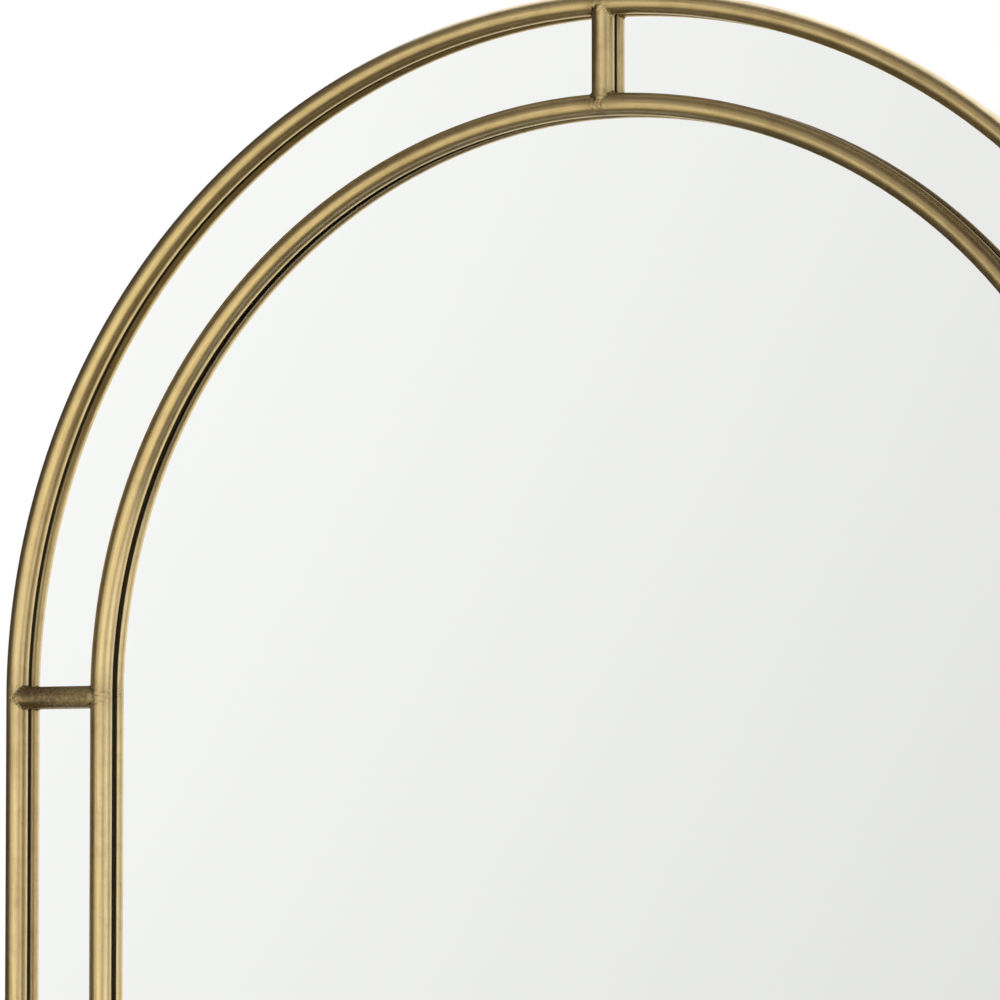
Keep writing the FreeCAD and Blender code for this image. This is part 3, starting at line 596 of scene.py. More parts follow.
@dataclass(frozen=True)
class Fibreboard(Finish):
    """Plain brown hardboard: pressed fibres with darker ones among them, and pale clouds."""

    name: str = "fibreboard"
    brown: Triple = (0.36, 0.26, 0.17)
    dark: Triple = (0.20, 0.135, 0.08)
    light: Triple = (0.46, 0.35, 0.24)
    lying_fibres: Triple = (160.0, 200.0, 900.0)
    upright_fibres: Triple = (900.0, 200.0, 160.0)
    pale_share: Pair = (0.1, 0.6)
    dark_fibres: Quad = (0.52, 0.75, 0.0, 0.75)
    gloss: Quad = (0.4, 0.7, 0.55, 0.75)
    cloud_scale: float = 6.0
    relief: float = 0.12

    def look(self, bench: NodeBench) -> dict:
        """Fibres are noise drawn out in two directions across the sheet.

        Args:
            bench: The material's bench.

        Returns:
            The surface's inputs.
        """
        place = bench.place()
        upright = bench.noise(bench.stretched(place, self.upright_fibres), 1.0, detail=4.0, roughness=0.7)
        lying = bench.noise(bench.stretched(place, self.lying_fibres), 1.0, detail=4.0, roughness=0.7)
        cloud = bench.noise(place, self.cloud_scale)
        fibres = bench.math("MAXIMUM", upright, lying)
        pale = bench.fit(cloud, *MIDDLE, *self.pale_share)
        colour = bench.blend(pale, rgba(self.brown), rgba(self.light))
        colour = bench.blend(bench.fit(fibres, *self.dark_fibres), colour, rgba(self.dark))
        return {
            "Base Color": colour,
            "Roughness": bench.fit(fibres, *self.gloss),
            "Normal": bench.bump(fibres, self.relief),
        }


@dataclass(frozen=True)
class ZincPlate(Finish):
    """Zinc plating on pressed steel, faintly yellow where the plating varies."""

    name: str = "zinc_plate"
    grey: Triple = (0.37, 0.37, 0.36)
    warm: Triple = (0.36, 0.34, 0.28)
    yellowing: Quad = (0.4, 0.7, 0.0, 0.7)
    roughness: Pair = (0.24, 0.40)
    tint_scale: float = 160.0
    grain_scale: float = 1500.0
    relief: float = 0.015

    def look(self, bench: NodeBench) -> dict:
        """Small patches of tint and gloss.

        Args:
            bench: The material's bench.

        Returns:
            The surface's inputs.
        """
        place = bench.place()
        tint = bench.noise(place, self.tint_scale)
        grain = bench.noise(place, self.grain_scale, detail=2.0)
        yellowed = bench.fit(tint, *self.yellowing)
        return {
            "Base Color": bench.blend(yellowed, rgba(self.grey), rgba(self.warm)),
            "Metallic": 1.0,
            "Roughness": bench.fit(tint, *MIDDLE, *self.roughness),
            "Normal": bench.bump(grain, self.relief),
        }


@dataclass(frozen=True)
class PowderCoat(Finish):
    """Matt black powder coat with a fine orange peel and dusty high spots."""

    name: str = "powder_coat"
    black: Triple = (0.030, 0.030, 0.032)
    dusty: Triple = (0.065, 0.064, 0.062)
    settling: Quad = (0.4, 0.75, 0.0, 1.0)
    roughness: Pair = (0.48, 0.62)
    peel_scale: float = 900.0
    dust_scale: float = 30.0
    relief: float = 0.05

    def look(self, bench: NodeBench) -> dict:
        """Orange peel is noise about a millimetre across.

        Args:
            bench: The material's bench.

        Returns:
            The surface's inputs.
        """
        place = bench.place()
        peel = bench.noise(place, self.peel_scale, detail=2.0)
        dust = bench.noise(place, self.dust_scale, detail=5.0, roughness=0.65)
        settled = bench.fit(dust, *self.settling)
        return {
            "Base Color": bench.blend(settled, rgba(self.black), rgba(self.dusty)),
            "Roughness": bench.fit(dust, *MIDDLE, *self.roughness),
            "Normal": bench.bump(peel, self.relief),
        }


@dataclass(frozen=True)
class MouldedRubber(Finish):
    """Black or white moulded rubber or foam: matt, with a fine skin texture."""

    name: str = "moulded_rubber"
    colour: Triple = (0.030, 0.030, 0.031)
    worn: Triple = (0.060, 0.058, 0.056)
    rubbing: Quad = (0.4, 0.7, 0.0, 1.0)
    roughness: Pair = (0.72, 0.85)
    skin_scale: float = 1200.0
    wear_scale: float = 80.0
    relief: float = 0.05

    def look(self, bench: NodeBench) -> dict:
        """The skin is fine noise, and wear is a slower one.

        Args:
            bench: The material's bench.

        Returns:
            The surface's inputs.
        """
        place = bench.place()
        skin = bench.noise(place, self.skin_scale, detail=2.0)
        wear = bench.noise(place, self.wear_scale, detail=4.0)
        rubbed = bench.fit(wear, *self.rubbing)
        return {
            "Base Color": bench.blend(rubbed, rgba(self.colour), rgba(self.worn)),
            "Roughness": bench.fit(wear, *MIDDLE, *self.roughness),
            "Normal": bench.bump(skin, self.relief),
        }


# Tube frames, struts and welds
# -----------------------------


@dataclass
class TubeFrame:
    """One arched tube frame: a half-round head, two legs and a base tube with mitred corners.

    Rings stand coarse_step apart, and fine_step apart within fine_span of a weld.
    """

    name: str
    radius: float
    tube_radius: float
    spring_level: float
    base_level: float
    plane: float
    welds: list[np.ndarray]
    points_around: int = 48
    coarse_step: float = 0.012
    fine_step: float = 0.0015
    fine_span: float = 2.5 * HEAT_REACH

    def stations(self, start: float, end: float, hot_places: list[float]) -> np.ndarray:
        """Distances along a path, close together near welds and wider apart elsewhere.

        Args:
            start: The path's first distance.
            end: The path's last distance.
            hot_places: Distances at which a strut is welded on.

        Returns:
            Sorted distances.
        """
        coarse = np.linspace(start, end, max(2, int((end - start) / self.coarse_step)) + 1)
        span = self.fine_span
        fine = [np.arange(place - span, place + span, self.fine_step) for place in hot_places]
        return np.unique(np.concatenate([coarse, *fine]).clip(start, end).round(6))

    def rings(
        self, centre: np.ndarray, side: np.ndarray, forward: np.ndarray, shear: np.ndarray, along: np.ndarray
    ) -> TubeGrid:
        """Carry a circle along a path.

        Each ring's point is centre + r (cos a side + sin a depth) + shear r cos a forward, where
        depth is +Y. shear is 0 for a square ring and 1 or -1 for one that lies in a mitre.

        Args:
            centre: Ring centres, shape (rings, 3).
            side: The in-plane direction away from the middle of the frame, shape (rings, 3).
            forward: The path's direction at each ring, shape (rings, 3).
            shear: The lean of each ring, shape (rings,).
            along: Each ring's distance down the path, shape (rings,).

        Returns:
            The grid of rings.
        """
        angle = ring_angles(self.points_around)
        outward = np.cos(angle)[None, :, None] * side[:, None, :]
        outward = outward + np.sin(angle)[None, :, None] * DEPTH
        lean = (shear[:, None] * np.cos(angle)[None, :])[:, :, None] * forward[:, None, :]
        points = centre[:, None, :] + self.tube_radius * (outward + lean)
        around = ring_distances(self.tube_radius, self.points_around)
        heat, lumps = weld_marks(points, self.welds)
        return TubeGrid(points, along, around, heat, LUMPS_ON_FRAME * lumps)

    def arch(self) -> TubeGrid:
        """The head: a path of constant radius from the right spring point over to the left.

        Returns:
            The grid of rings.
        """
        hot = [angle * self.radius for angle in (0.0, math.pi / 2, math.pi)]
        along = self.stations(0.0, math.pi * self.radius, hot)
        turn = along / self.radius
        side = np.stack([np.cos(turn), np.zeros_like(turn), np.sin(turn)], axis=-1)
        forward = np.stack([-np.sin(turn), np.zeros_like(turn), np.cos(turn)], axis=-1)
        centre = np.array([0.0, self.plane, self.spring_level]) + self.radius * side
        return self.rings(centre, side, forward, np.zeros_like(turn), along)

    def leg(self, hand: Side, hot_levels: list[float]) -> TubeGrid:
        """A straight leg, mitred at its foot.

        Args:
            hand: The side that it stands on.
            hot_levels: Heights at which a strut is welded on.

        Returns:
            The grid of rings.
        """
        level = self.stations(self.base_level, self.spring_level, hot_levels)
        side = np.broadcast_to([float(hand.value), 0.0, 0.0], (len(level), 3))
        forward = np.broadcast_to([0.0, 0.0, 1.0], (len(level), 3))
        x = np.full_like(level, hand.value * self.radius)
        centre = np.stack([x, np.full_like(level, self.plane), level], axis=-1)
        shear = np.where(level <= self.base_level, -1.0, 0.0)
        return self.rings(centre, side, forward, shear, level)

    def base(self) -> TubeGrid:
        """The base tube, mitred at both ends.

        Returns:
            The grid of rings.
        """
        x = self.stations(-self.radius, self.radius, [0.0])
        side = np.broadcast_to([0.0, 0.0, -1.0], (len(x), 3))
        forward = np.broadcast_to([1.0, 0.0, 0.0], (len(x), 3))
        centre = np.stack([x, np.full_like(x, self.plane), np.full_like(x, self.base_level)], axis=-1)
        shear = np.where(x <= -self.radius, -1.0, np.where(x >= self.radius, 1.0, 0.0))
        return self.rings(centre, side, forward, shear, x)

    def build(self, finish: Material, hot_levels: list[float]) -> None:
        """Make the four tubes and dress them in brass.

        Args:
            finish: The brass.
            hot_levels: Heights at which struts are welded to the legs.
        """
        grids = {
            f"{self.name}_arch_tube": self.arch(),
            f"{self.name}_left_leg": self.leg(Side.LEFT, hot_levels),
            f"{self.name}_right_leg": self.leg(Side.RIGHT, hot_levels),
            f"{self.name}_bottom_tube": self.base(),
        }
        for node, grid in grids.items():
            add_tube(node + "_brushed", grid, finish, Placing("tube_brass", node=node))


@dataclass
class Strut:
    """A short tube between the two frames, with a ground weld at each end.

    The tube starts at end_share of the distance to its neighbour's surface, inside the metal.
    On a level strut the middle is painted darker brown as shade, starting shade_fade_from tube
    radii from an end and full shade_fade_over further on.
    A weld reaches weld_leg along both tubes and swells out by weld_bulge, most in the direction
    bulge_way, and leg_swing and bulge_swing say how much these vary round the joint. Its root
    lies inside the metal, at root_along and root_radius of the places where the tubes meet.
    limb keeps the weld just short of the frame tube's limb, where the surface turns away.
    """

    node: str
    start: np.ndarray
    direction: np.ndarray
    length: float
    tube_radius: float
    seed: int
    painted_shade: float
    points_around: int = 48
    rows: int = 40
    end_share: float = 0.96
    shade_fade_from: float = 0.2
    shade_fade_over: float = 1.2
    weld_sections: int = 96
    weld_points: int = 9
    weld_leg: float = 0.0016
    leg_swing: float = 0.35
    leg_waves: range = range(2, 8)
    weld_bulge: float = 0.00022
    bulge_swing: float = 1.2
    bulge_waves: range = range(6, 20)
    bulge_way: Triple = (0.5, 1.0, 0.25)
    bulge_fall: float = 0.7
    limb: float = 0.999
    root_along: float = 0.55
    root_radius: float = 0.75
    section_length: float = 0.010
    weld_heat: float = 0.22
    # Painted shade added to the welds of a level strut.
    shade_on_welds: float = 0.5

    def cross(self) -> np.ndarray:
        """The direction of the frame tubes where the strut meets them."""
        return np.array([-self.direction[2], 0.0, self.direction[0]])

    def body(self) -> TubeGrid:
        """The tube itself.

        Both ends follow the frame tubes: at angle a round the strut the tube starts where the
        neighbour's surface is, sqrt(R^2 - (r sin a)^2) from the neighbour's axis.

        Returns:
            The grid of rings.
        """
        angle = ring_angles(self.points_around)
        reach = np.sqrt(np.clip(1.0 - np.sin(angle) ** 2, 0, None)) * self.tube_radius * self.end_share
        share = np.linspace(0, 1, self.rows)
        along = reach[None, :] + share[:, None] * (self.length - 2 * reach[None, :])
        outward = np.cos(angle)[:, None] * self.cross() + np.sin(angle)[:, None] * DEPTH
        points = self.start + along[:, :, None] * self.direction + self.tube_radius * outward[None, :, :]
        end_distance = np.minimum(along, self.length - along) / self.tube_radius
        blend = np.clip((end_distance - self.shade_fade_from) / self.shade_fade_over, 0.0, 1.0)
        joints = [self.start, self.start + self.length * self.direction]
        ends, lumps = weld_marks(points, joints)
        # Painted shade on a level strut, fading out towards its ends, kept above the weld colour there.
        heat = np.maximum(self.painted_shade * blend**2 * (3 - 2 * blend), ends)
        around = ring_distances(self.tube_radius, self.points_around)
        return TubeGrid(points, share * self.length, around, heat, lumps)

    def weld_skin(self, angle: np.ndarray, leg: np.ndarray, bulge: np.ndarray) -> np.ndarray:
        """The weld's visible skin, drawn as one soft corner for each angle round the strut.

        A corner is (1-s)^2 A + 2s(1-s) B + s^2 C, from A on the strut, past B where the tubes
        meet, to C on the frame tube, and it swells outwards by sin(pi s) times the bulge.

        Args:
            angle: The angles round the strut.
            leg: The weld's reach along both tubes at each angle.
            bulge: How far it swells at each angle.

        Returns:
            Places along the strut, across it and in depth, shape (angles, weld_points, 3).
        """
        r = self.tube_radius
        sine, cosine = np.sin(angle), np.cos(angle)
        further = np.arcsin(sine * self.limb) + sine * leg / r
        meeting = r * np.abs(cosine)
        on_strut = np.stack([meeting + leg, r * cosine, r * sine], axis=-1)
        corner = np.stack([meeting, r * cosine, r * sine], axis=-1)
        on_tube = np.stack([r * np.cos(further), r * cosine + leg * cosine, r * np.sin(further)], axis=-1)
        share = np.linspace(0, 1, self.weld_points)[None, :, None]
        curve = (1 - share) ** 2 * on_strut[:, None] + 2 * share * (1 - share) * corner[:, None]
        curve = curve + share**2 * on_tube[:, None]
        away = np.array(self.bulge_way) * np.stack([np.ones_like(sine), cosine, sine], axis=-1)
        swollen = bulge * np.abs(cosine) ** self.bulge_fall
        return curve + np.sin(np.pi * share) * away[:, None] * swollen[:, None, None]

    def weld(self, end: int) -> TubeGrid:
        """The ground fillet weld at one end, as a closed ring of small sections.

        Its legs and its bulge vary round the joint as sums of waves, which gives the lumps of a
        hand-made weld, and each section closes inside the metal.

        Args:
            end: 0 for the strut's start and 1 for its far end.

        Returns:
            The grid of sections, its last one on its first.
        """
        chance = np.random.RandomState(self.seed * 2 + end)
        angle = np.linspace(0, 2 * np.pi, self.weld_sections + 1)
        leg = self.weld_leg * (1.0 + self.leg_swing * self.waves(angle, chance, self.leg_waves))
        swell = 1.0 + self.bulge_swing * self.waves(angle, chance, self.bulge_waves)
        skin = self.weld_skin(angle, leg, self.weld_bulge * swell)
        along = self.root_along * self.tube_radius * np.abs(np.cos(angle))
        root = self.root_radius * self.tube_radius
        inner = np.stack([along, root * np.cos(angle), root * np.sin(angle)], axis=-1)[:, None, :]
        low = 0.5 * (skin[:, :1] + inner)
        high = 0.5 * (skin[:, -1:] + inner)
        section = np.concatenate([skin, high, inner, low], axis=1)
        axis = self.direction if end == 0 else -self.direction
        origin = self.start if end == 0 else self.start + self.length * self.direction
        points = origin + section @ np.stack([axis, self.cross(), DEPTH])
        points[..., 1] = np.maximum(points[..., 1], self.start[1] - self.tube_radius)
        around = np.linspace(0, self.section_length, points.shape[1] + 1)
        # The welds of level struts are painted darker too, as shade.
        heat = np.full(points.shape[:2], self.weld_heat + self.shade_on_welds * self.painted_shade)
        return TubeGrid(points, angle * self.tube_radius, around, heat, np.ones(points.shape[:2]))

    @staticmethod
    def waves(angle: np.ndarray, chance: np.random.RandomState, orders: range) -> np.ndarray:
        """A sum of waves round a circle with chance strengths and starts.

        Args:
            angle: The angles.
            chance: The source of random draws.
            orders: How many times each wave swings round the circle.

        Returns:
            The sum at each angle, scaled to reach 1 or -1.
        """
        total = np.zeros_like(angle)
        for order in orders:
            strength = chance.uniform(*WAVE_STRENGTHS)
            total += strength * np.cos(order * angle + chance.uniform(0, 2 * np.pi))
        return total / np.abs(total).max()

    def build(self, finish: Material) -> None:
        """Make the strut and its two welds.

        Args:
            finish: The brass.
        """
        add_tube(self.node + "_brushed", self.body(), finish, Placing("tube_brass", node=self.node))
        for end, word in enumerate(("start", "end")):
            name = f"{self.node}_weld_{word}"
            add_tube(name, self.weld(end), finish, Placing("tube_brass"), closed_loop=True)


@dataclass
class BrassFrames:
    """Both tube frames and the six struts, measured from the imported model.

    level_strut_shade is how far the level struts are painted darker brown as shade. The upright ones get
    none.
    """

    outer_radius: float
    inner_radius: float
    tube_radius: float
    plane: float
    spring_level: float
    outer_base: float
    inner_base: float
    level_strut_shade: float = 0.85

    @classmethod
    def measured(cls) -> "BrassFrames":
        """Read the frames' sizes off the CAD nodes.

        Returns:
            The frames, ready to build.
        """
        outer_low, outer_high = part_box("outer_bottom_tube")
        inner_low, inner_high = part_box("inner_bottom_tube")
        arch_low, arch_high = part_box("outer_arch_tube")
        tube_radius = (outer_high.z - outer_low.z) / 2
        return cls(
            outer_radius=arch_high.x - tube_radius,
            inner_radius=inner_high.x - tube_radius,
            tube_radius=tube_radius,
            plane=(arch_low.y + arch_high.y) / 2,
            spring_level=arch_high.z - arch_high.x,
            outer_base=(outer_low.z + outer_high.z) / 2,
            inner_base=(inner_low.z + inner_high.z) / 2,
        )

    def strut_places(self) -> dict[str, tuple[np.ndarray, np.ndarray]]:
        """Where the six struts go.

        Returns:
            Each strut's start on a frame tube's axis, and its direction, by node name.
        """
        right = np.array([1.0, 0.0, 0.0])
        up = np.array([0.0, 0.0, 1.0])
        spots = {
            "top_strut": (0.0, self.spring_level + self.inner_radius, up),
            "bottom_strut": (0.0, self.outer_base, up),
            "left_upper_strut": (-self.outer_radius, self.spring_level, right),
            "right_upper_strut": (self.inner_radius, self.spring_level, right),
            "left_lower_strut": (-self.outer_radius, self.inner_base, right),
            "right_lower_strut": (self.inner_radius, self.inner_base, right),
        }
        return {node: (np.array([x, self.plane, z]), way) for node, (x, z, way) in spots.items()}

    def build(self, outer_finish: Material, inner_finish: Material) -> None:
        """Make the frames first, then the struts with their welds.

        Args:
            outer_finish: The brass of the outer frame and the struts.
            inner_finish: The brass of the inner frame, with a wider painted shade on its back.
        """
        spacing = self.outer_radius - self.inner_radius
        places = self.strut_places()
        ends = [spot for start, way in places.values() for spot in (start, start + spacing * way)]
        hot_levels = [self.inner_base, self.spring_level]
        sizes = {
            "outer": (self.outer_radius, self.outer_base, outer_finish),
            "inner": (self.inner_radius, self.inner_base, inner_finish),
        }
        for name, (radius, base, finish) in sizes.items():
            tubes = TubeFrame(
                name=name,
                radius=radius,
                tube_radius=self.tube_radius,
                spring_level=self.spring_level,
                base_level=base,
                plane=self.plane,
                welds=ends,
            )
            tubes.build(finish, hot_levels)
        for seed, (node, (start, way)) in enumerate(places.items(), start=1):
            # Only the level struts get painted shade.
            painted_shade = self.level_strut_shade if way[0] else 0.0
            Strut(node, start, way, spacing, self.tube_radius, seed, painted_shade).build(outer_finish)


# Hanger rings
# ------------


@dataclass
class HangerRing:
    """A D of round wire: a straight bar, two small corners, two short sides and a round bow.

    corner_wires is the corners' radius in wire radii.
    """

    hand: Side
    points_around: int = 20
    steps: int = 160
    bar_points: int = 16
    corner_points: int = 12
    bow_points: int = 48
    corner_wires: float = 2.0

    def centreline(self) -> tuple[np.ndarray, float, float]:
        """The wire's middle line, drawn as a closed run of straight and round stretches.

        Returns:
            The points, the wire's radius and the line's length.
        """
        low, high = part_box(f"{self.hand.word}_d_ring")
        wire = (high.y - low.y) / 2
        half = (high.x - low.x) / 2 - wire
        top = high.z - wire
        corner = self.corner_wires * wire
        foot = low.z + wire + half
        middle = (low.x + high.x) / 2
        quarter = np.linspace(0, np.pi / 2, self.corner_points)
        bow = np.linspace(np.pi, 2 * np.pi, self.bow_points)
        shoulder = half - corner
        bar = np.linspace(shoulder, -shoulder, self.bar_points)
        stretches = [
            np.stack([bar, np.full_like(bar, top)], axis=-1),
            np.stack([-shoulder - corner * np.sin(quarter), top - corner * (1 - np.cos(quarter))], axis=-1),
            np.stack([half * np.cos(bow), foot + half * np.sin(bow)], axis=-1),
            np.stack([shoulder + corner * np.cos(quarter), top - corner * (1 - np.sin(quarter))], axis=-1),
        ]
        flat = np.concatenate(stretches)
        flat = np.vstack([flat, flat[:1]])
        distance = np.concatenate([[0], np.cumsum(np.linalg.norm(np.diff(flat, axis=0), axis=1))])
        even = np.linspace(0, distance[-1], self.steps + 1)
        x = middle + np.interp(even, distance, flat[:, 0])
        z = np.interp(even, distance, flat[:, 1])
        y = np.full_like(x, (low.y + high.y) / 2)
        return np.stack([x, y, z], axis=-1), wire, float(distance[-1])

    def build(self, finish: Material) -> None:
        """Carry a circle round the middle line.

        Args:
            finish: The zinc plating.
        """
        line, wire, length = self.centreline()
        forward = np.roll(line[:-1], -1, axis=0) - np.roll(line[:-1], 1, axis=0)
        forward = np.vstack([forward, forward[:1]])
        forward /= np.linalg.norm(forward, axis=1, keepdims=True)
        side = np.cross(forward, DEPTH)
        angle = ring_angles(self.points_around)
        outward = np.cos(angle)[None, :, None] * side[:, None, :] + np.sin(angle)[None, :, None] * DEPTH
        points = line[:, None, :] + wire * outward
        around = ring_distances(wire, self.points_around)
        along = np.linspace(0, length, len(line))
        bare = np.zeros(points.shape[:2])
        grid = TubeGrid(points, along, around, bare, bare)
        node = f"{self.hand.word}_d_ring"
        placing = Placing("zinc_steel", f"{self.hand.word}_ring", node)
        add_tube(node + "_wire", grid, finish, placing, closed_loop=True)


# Pieces that keep their CAD shape
# --------------------------------


@dataclass(frozen=True)
class CarriedPieces:
    """CAD nodes that keep their shape and get a better finish."""

    def build(self, finishes: dict[str, Material]) -> None:
        """Dress every shown CAD node in the finish of its material slot.

        Args:
            finishes: The finishes by material slot.
        """
        for entry in frame["record"]["subparts"]:
            node = frame["nodes"][entry["node"]]
            if node.hide_render:
                continue
            node.data.materials.clear()
            node.data.materials.append(finishes[entry["material_slot"]])
            LOG.info("%s keeps its shape, in %s", node.name, entry["material_slot"])


# Studio
# ------


def aim_at(thing: bpy.types.Object, place: Triple, aim: Triple) -> None:
    """Put a camera or a lamp somewhere, turned towards a point, and add it to the scene.

    Args:
        thing: The camera or lamp.
        place: Where it stands.
        aim: The point that it faces.
    """
    thing.location = place
    look = Vector(aim) - Vector(place)
    thing.rotation_euler = look.to_track_quat("-Z", "Y").to_euler()
    bpy.context.scene.collection.objects.link(thing)


@dataclass(frozen=True)
class LightField:
    """A soft-edged patch of light round the room, by azimuth and height, in degrees.

    Azimuth is 0 straight out of the mirror's face and grows to the right, seen from the front.
    """

    left: float
    right: float
    low: float
    high: float
    strength: float
    edge: float = 4.0
    rise: float = 8.0
    tint: Triple = (1.0, 1.0, 1.0)

    def glow(self, bench: NodeBench, azimuth: Socket, height: Socket) -> Socket:
        """The patch's light in a direction.

        Args:
            bench: The bench of the tree that the nodes go into.
            azimuth: The direction's azimuth.
            height: The direction's height over the horizon.

        Returns:
            The tinted light, falling smoothly to nothing over each edge.
        """
        inside = bench.window(azimuth, self.left, self.right, self.edge)
        level = bench.window(height, self.low, self.high, self.rise)
        light = tuple(part * self.strength for part in self.tint)
        return bench.scaled(light, bench.product(inside, level))


@dataclass(frozen=True)
class SoftLamp:
    """A square lamp that lights matt surfaces and stays out of reflections and the picture."""

    name: str
    place: Triple
    size: float
    power: float
    aim: Triple = (0.0, 0.0, 1.0)

    def build(self) -> None:
        """Hang the lamp."""
        data = bpy.data.lights.new(self.name, "AREA")
        data.size = self.size
        data.energy = self.power
        lamp = bpy.data.objects.new(self.name, data)
        lamp.visible_glossy = False
        lamp.visible_camera = False
        aim_at(lamp, self.place, self.aim)


@dataclass(frozen=True)
class Studio:
    """A white photo studio: pale floor, white background and broad soft lights.

    The floor is whole within floor_kept of the middle and gone at floor_half. The wall that the
    mirror shows goes from one brightness to another between two azimuths and between two
    heights, in degrees. The backdrop glows behind the mirror and fades out towards the front
    and far to the left, over a span of the direction's Y and one of its X.
    """

    camera_place: Triple = (2.0497, -4.0488, 1.2112)
    camera_aim: Triple = (-0.0766, -0.0125, 1.4973)
    lens: float = 249.19
    sensor_width: float = 36.0
    sight: float = 100.0
    floor_half: float = 4.0
    floor_kept: float = 1.1
    warm: Triple = (1.08, 1.0, 0.92)
    amber: Triple = (1.08, 1.0, 0.80)
    shadow_light: Triple = (0.040, 0.032, 0.029)
    backdrop_light: Triple = (1.34, 1.40, 1.65)
    backdrop_behind: Pair = (-0.15, 0.03)
    backdrop_left: Pair = (-0.70, -0.60)
    white: Triple = (1.0, 1.0, 1.0)
    matt_light: float = 0.75
    wall_white: Triple = (0.997, 1.0, 0.995)
    wall_azimuths: Pair = (-31.7, -22.8)
    wall_across: Pair = (1.060, 0.888)
    wall_heights: Pair = (-3.3, 8.0)
    wall_upward: Pair = (0.880, 0.995)
    floor_grey: Triple = (0.90, 0.90, 0.89)
    floor_white: Triple = (0.93, 0.93, 0.92)
    floor_roughness: float = 0.7
    speckle_scale: float = 4.0

    def light_fields(self) -> list[LightField]:
        """What satin metal sees round the room.

        Returns:
            The patches of light.
        """
        return [
            LightField(left=-7, right=40, low=-6, high=12, strength=1.08, rise=9),
            LightField(left=-7, right=40, low=-42, high=-6, strength=1.08, rise=9, tint=self.amber),
            LightField(left=66, right=99, low=-24, high=12, strength=1.08),
            LightField(left=38, right=68, low=-28, high=12, strength=0.44, tint=self.warm),
            LightField(left=-40, right=-6, low=-42, high=0, strength=0.85, edge=6, rise=9, tint=self.amber),
            LightField(left=-34, right=18, low=0, high=38, strength=0.32, edge=6, rise=10, tint=self.warm),
            LightField(left=-75, right=15, low=20, high=85, strength=0.09, edge=14, rise=14, tint=self.warm),
            LightField(left=-31, right=-25, low=-3, high=4.2, strength=1.10, edge=2, rise=1.6),
        ]

    def add_camera(self) -> None:
        """The camera stands where the photograph was taken from."""
        data = bpy.data.cameras.new("camera")
        data.sensor_width = self.sensor_width
        data.lens = self.lens
        data.clip_end = self.sight
        camera = bpy.data.objects.new("camera", data)
        aim_at(camera, self.camera_place, self.camera_aim)
        bpy.context.scene.camera = camera

    def add_floor(self) -> None:
        """A pale floor that fades into the white background and keeps the shadow.

        Metal doesn't see it, so that the light fields alone shape the brass.
        """
        half = self.floor_half
        mesh = bpy.data.meshes.new("floor")
        corners = [(-half, -half, 0), (half, -half, 0), (half, half, 0), (-half, half, 0)]
        mesh.from_pydata(corners, [], [(0, 1, 2, 3)])
        floor = bpy.data.objects.new("floor", mesh)
        bpy.context.scene.collection.objects.link(floor)
        material, bench = new_material("floor_white")
        speckle = bench.fit(bench.noise(bench.place(), self.speckle_scale), *MIDDLE)
        colour = bench.blend(speckle, rgba(self.floor_grey), rgba(self.floor_white))
        matt = bench.add("BsdfPrincipled", {"Base Color": colour, "Roughness": self.floor_roughness})
        unseen = bench.add("BsdfTransparent")
        distance = bench.add("VectorMath", {0: bench.place()}, operation="LENGTH").outputs["Value"]
        faded = bench.fit(distance, self.floor_kept, self.floor_half)
        open_share = bench.math("MAXIMUM", self.seen_in_metal(bench), faded)
        mixed = bench.choice(open_share, matt, unseen)
        bench.add("OutputMaterial", {"Surface": mixed.outputs[0]})
        floor.data.materials.append(material)

    def seen_in_metal(self, bench: NodeBench) -> Socket:
        """Tell light paths off satin metal from those of the eye, matt surfaces and the mirror.

        Args:
            bench: The bench of the tree that the nodes go into.

        Returns:
            1 for satin metal and 0 for the others.
        """
        path = bench.add("LightPath").outputs
        first_bounce = bench.math("LESS_THAN", path["Glossy Depth"], 1.5)
        straight = bench.product(path["Is Singular Ray"], first_bounce)
        return bench.product(path["Is Glossy Ray"], bench.math("SUBTRACT", 1.0, straight))

    def mirror_wall(self, bench: NodeBench, azimuth: Socket, height: Socket) -> Socket:
        """The lit wall that the mirror shows, brightest at its upper left.

        Args:
            bench: The bench of the world's tree.
            azimuth: The direction's azimuth.
            height: The direction's height over the horizon.

        Returns:
            The wall's brightness.
        """
        across = dict(enumerate((azimuth, *self.wall_azimuths, *self.wall_across)))
        upward = dict(enumerate((height, *self.wall_heights, *self.wall_upward)))
        slopes = [bench.add("MapRange", inputs).outputs[0] for inputs in (across, upward)]
        return bench.product(*slopes)

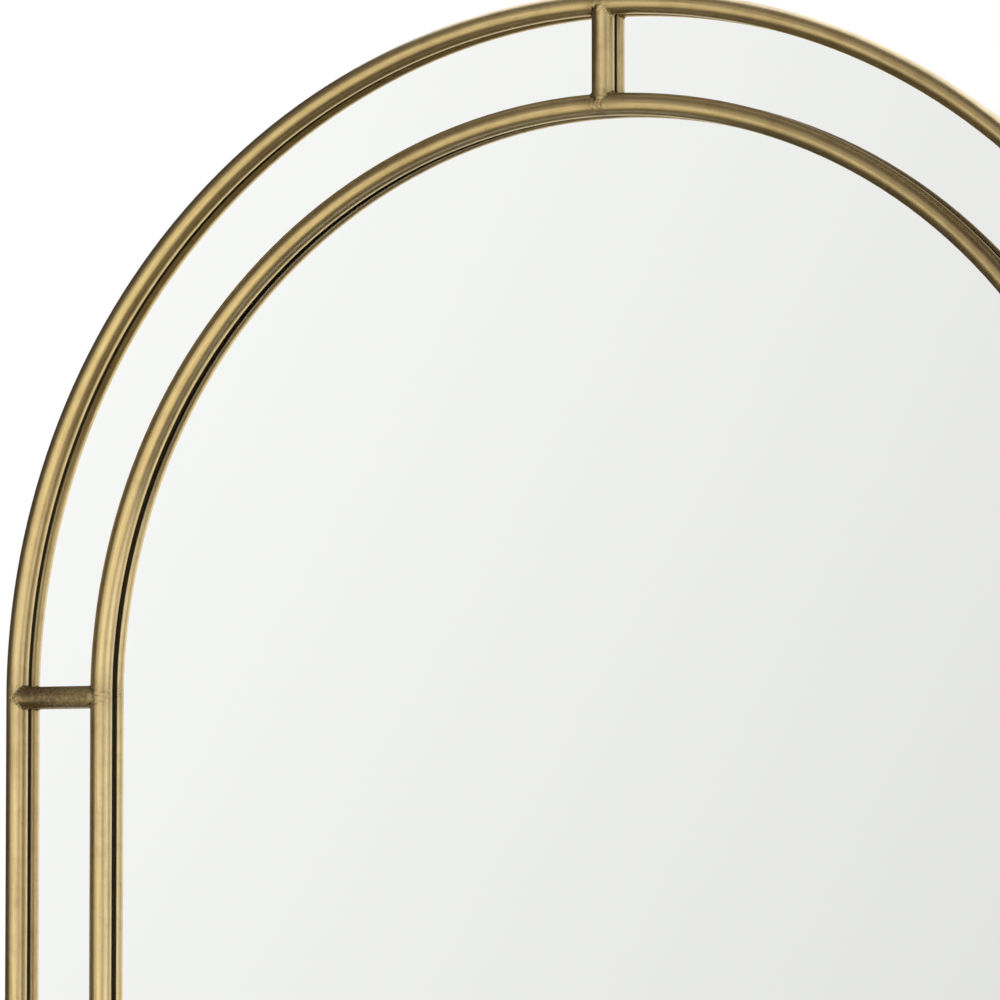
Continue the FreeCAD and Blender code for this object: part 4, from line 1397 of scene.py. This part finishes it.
    def add_world(self) -> None:
        """White to the eye, plain light on matt surfaces, and the studio's soft lights in metal.

        The mirror's own reflection shows the lit wall instead.
        """
        world = bpy.data.worlds.new("studio")
        bpy.context.scene.world = world
        world.use_nodes = True
        bench = NodeBench(world.node_tree)
        way = bench.add("SeparateXYZ", {"Vector": bench.add("TexCoord").outputs["Generated"]}).outputs
        backwards = bench.math("MULTIPLY", way["Y"], -1.0)
        azimuth = bench.math("DEGREES", bench.math("ARCTAN2", way["X"], backwards))
        height = bench.math("DEGREES", bench.math("ARCSINE", way["Z"]))
        glow = self.shadow_light
        for field in self.light_fields():
            glow = bench.total(glow, field.glow(bench, azimuth, height))
        behind = bench.fit(way["Y"], *self.backdrop_behind)
        backdrop = bench.product(behind, bench.fit(way["X"], *self.backdrop_left))
        glow = bench.total(glow, bench.scaled(self.backdrop_light, backdrop))
        wall_light = self.mirror_wall(bench, azimuth, height)
        path = bench.add("LightPath").outputs
        seen = bench.add("Background", {"Color": rgba(self.white), "Strength": 1.0})
        plain = bench.add("Background", {"Color": rgba(self.white), "Strength": self.matt_light})
        shine = bench.add("Background", {"Color": glow, "Strength": 1.0})
        wall = bench.add("Background", {"Color": rgba(self.wall_white), "Strength": wall_light})
        metal = bench.choice(self.seen_in_metal(bench), wall, shine)
        lit = bench.choice(path["Is Glossy Ray"], plain, metal)
        final = bench.choice(path["Is Camera Ray"], lit, seen)
        bench.add("OutputWorld", {"Surface": final.outputs[0]})

    def add_lamps(self) -> None:
        """Two broad soft lamps that shape matt surfaces and cast the floor's shadow."""
        SoftLamp("key", place=(-1.6, -3.2, 3.2), size=2.4, power=60.0).build()
        SoftLamp("back", place=(1.8, 3.0, 2.8), size=2.0, power=40.0).build()

    def build(self) -> None:
        """Set up the camera, floor, world and lamps."""
        self.add_camera()
        self.add_floor()
        self.add_world()
        self.add_lamps()
        bpy.context.scene.view_settings.view_transform = "Standard"


def main() -> None:
    """Build the studio, the finishes and the pieces in order."""
    logging.basicConfig(level=logging.INFO, format="%(message)s")
    Studio().build()
    brass = BrushedBrass().build()
    zinc = ZincPlate().build()
    finishes = {
        "tube_brass": brass,
        "band_brass": SatinBand().build(),
        "mirror": SilveredGlass().build(),
        "foam": MouldedRubber(name="foam", colour=(0.80, 0.80, 0.78), worn=(0.72, 0.72, 0.70)).build(),
        "board": Fibreboard().build(),
        "zinc_steel": zinc,
        "bar_steel": PowderCoat().build(),
        "rubber": MouldedRubber().build(),
    }
    # The inner frame's copy starts its painted shade sooner, so its dark band along the glass is wider.
    inner_brass = BrushedBrass(name="brushed_brass_inner", back_shade_from=0.53).build()
    BrassFrames.measured().build(brass, inner_brass)
    for hand in Side:
        HangerRing(hand).build(zinc)
    CarriedPieces().build(finishes)


if __name__ == "__main__":
    main()
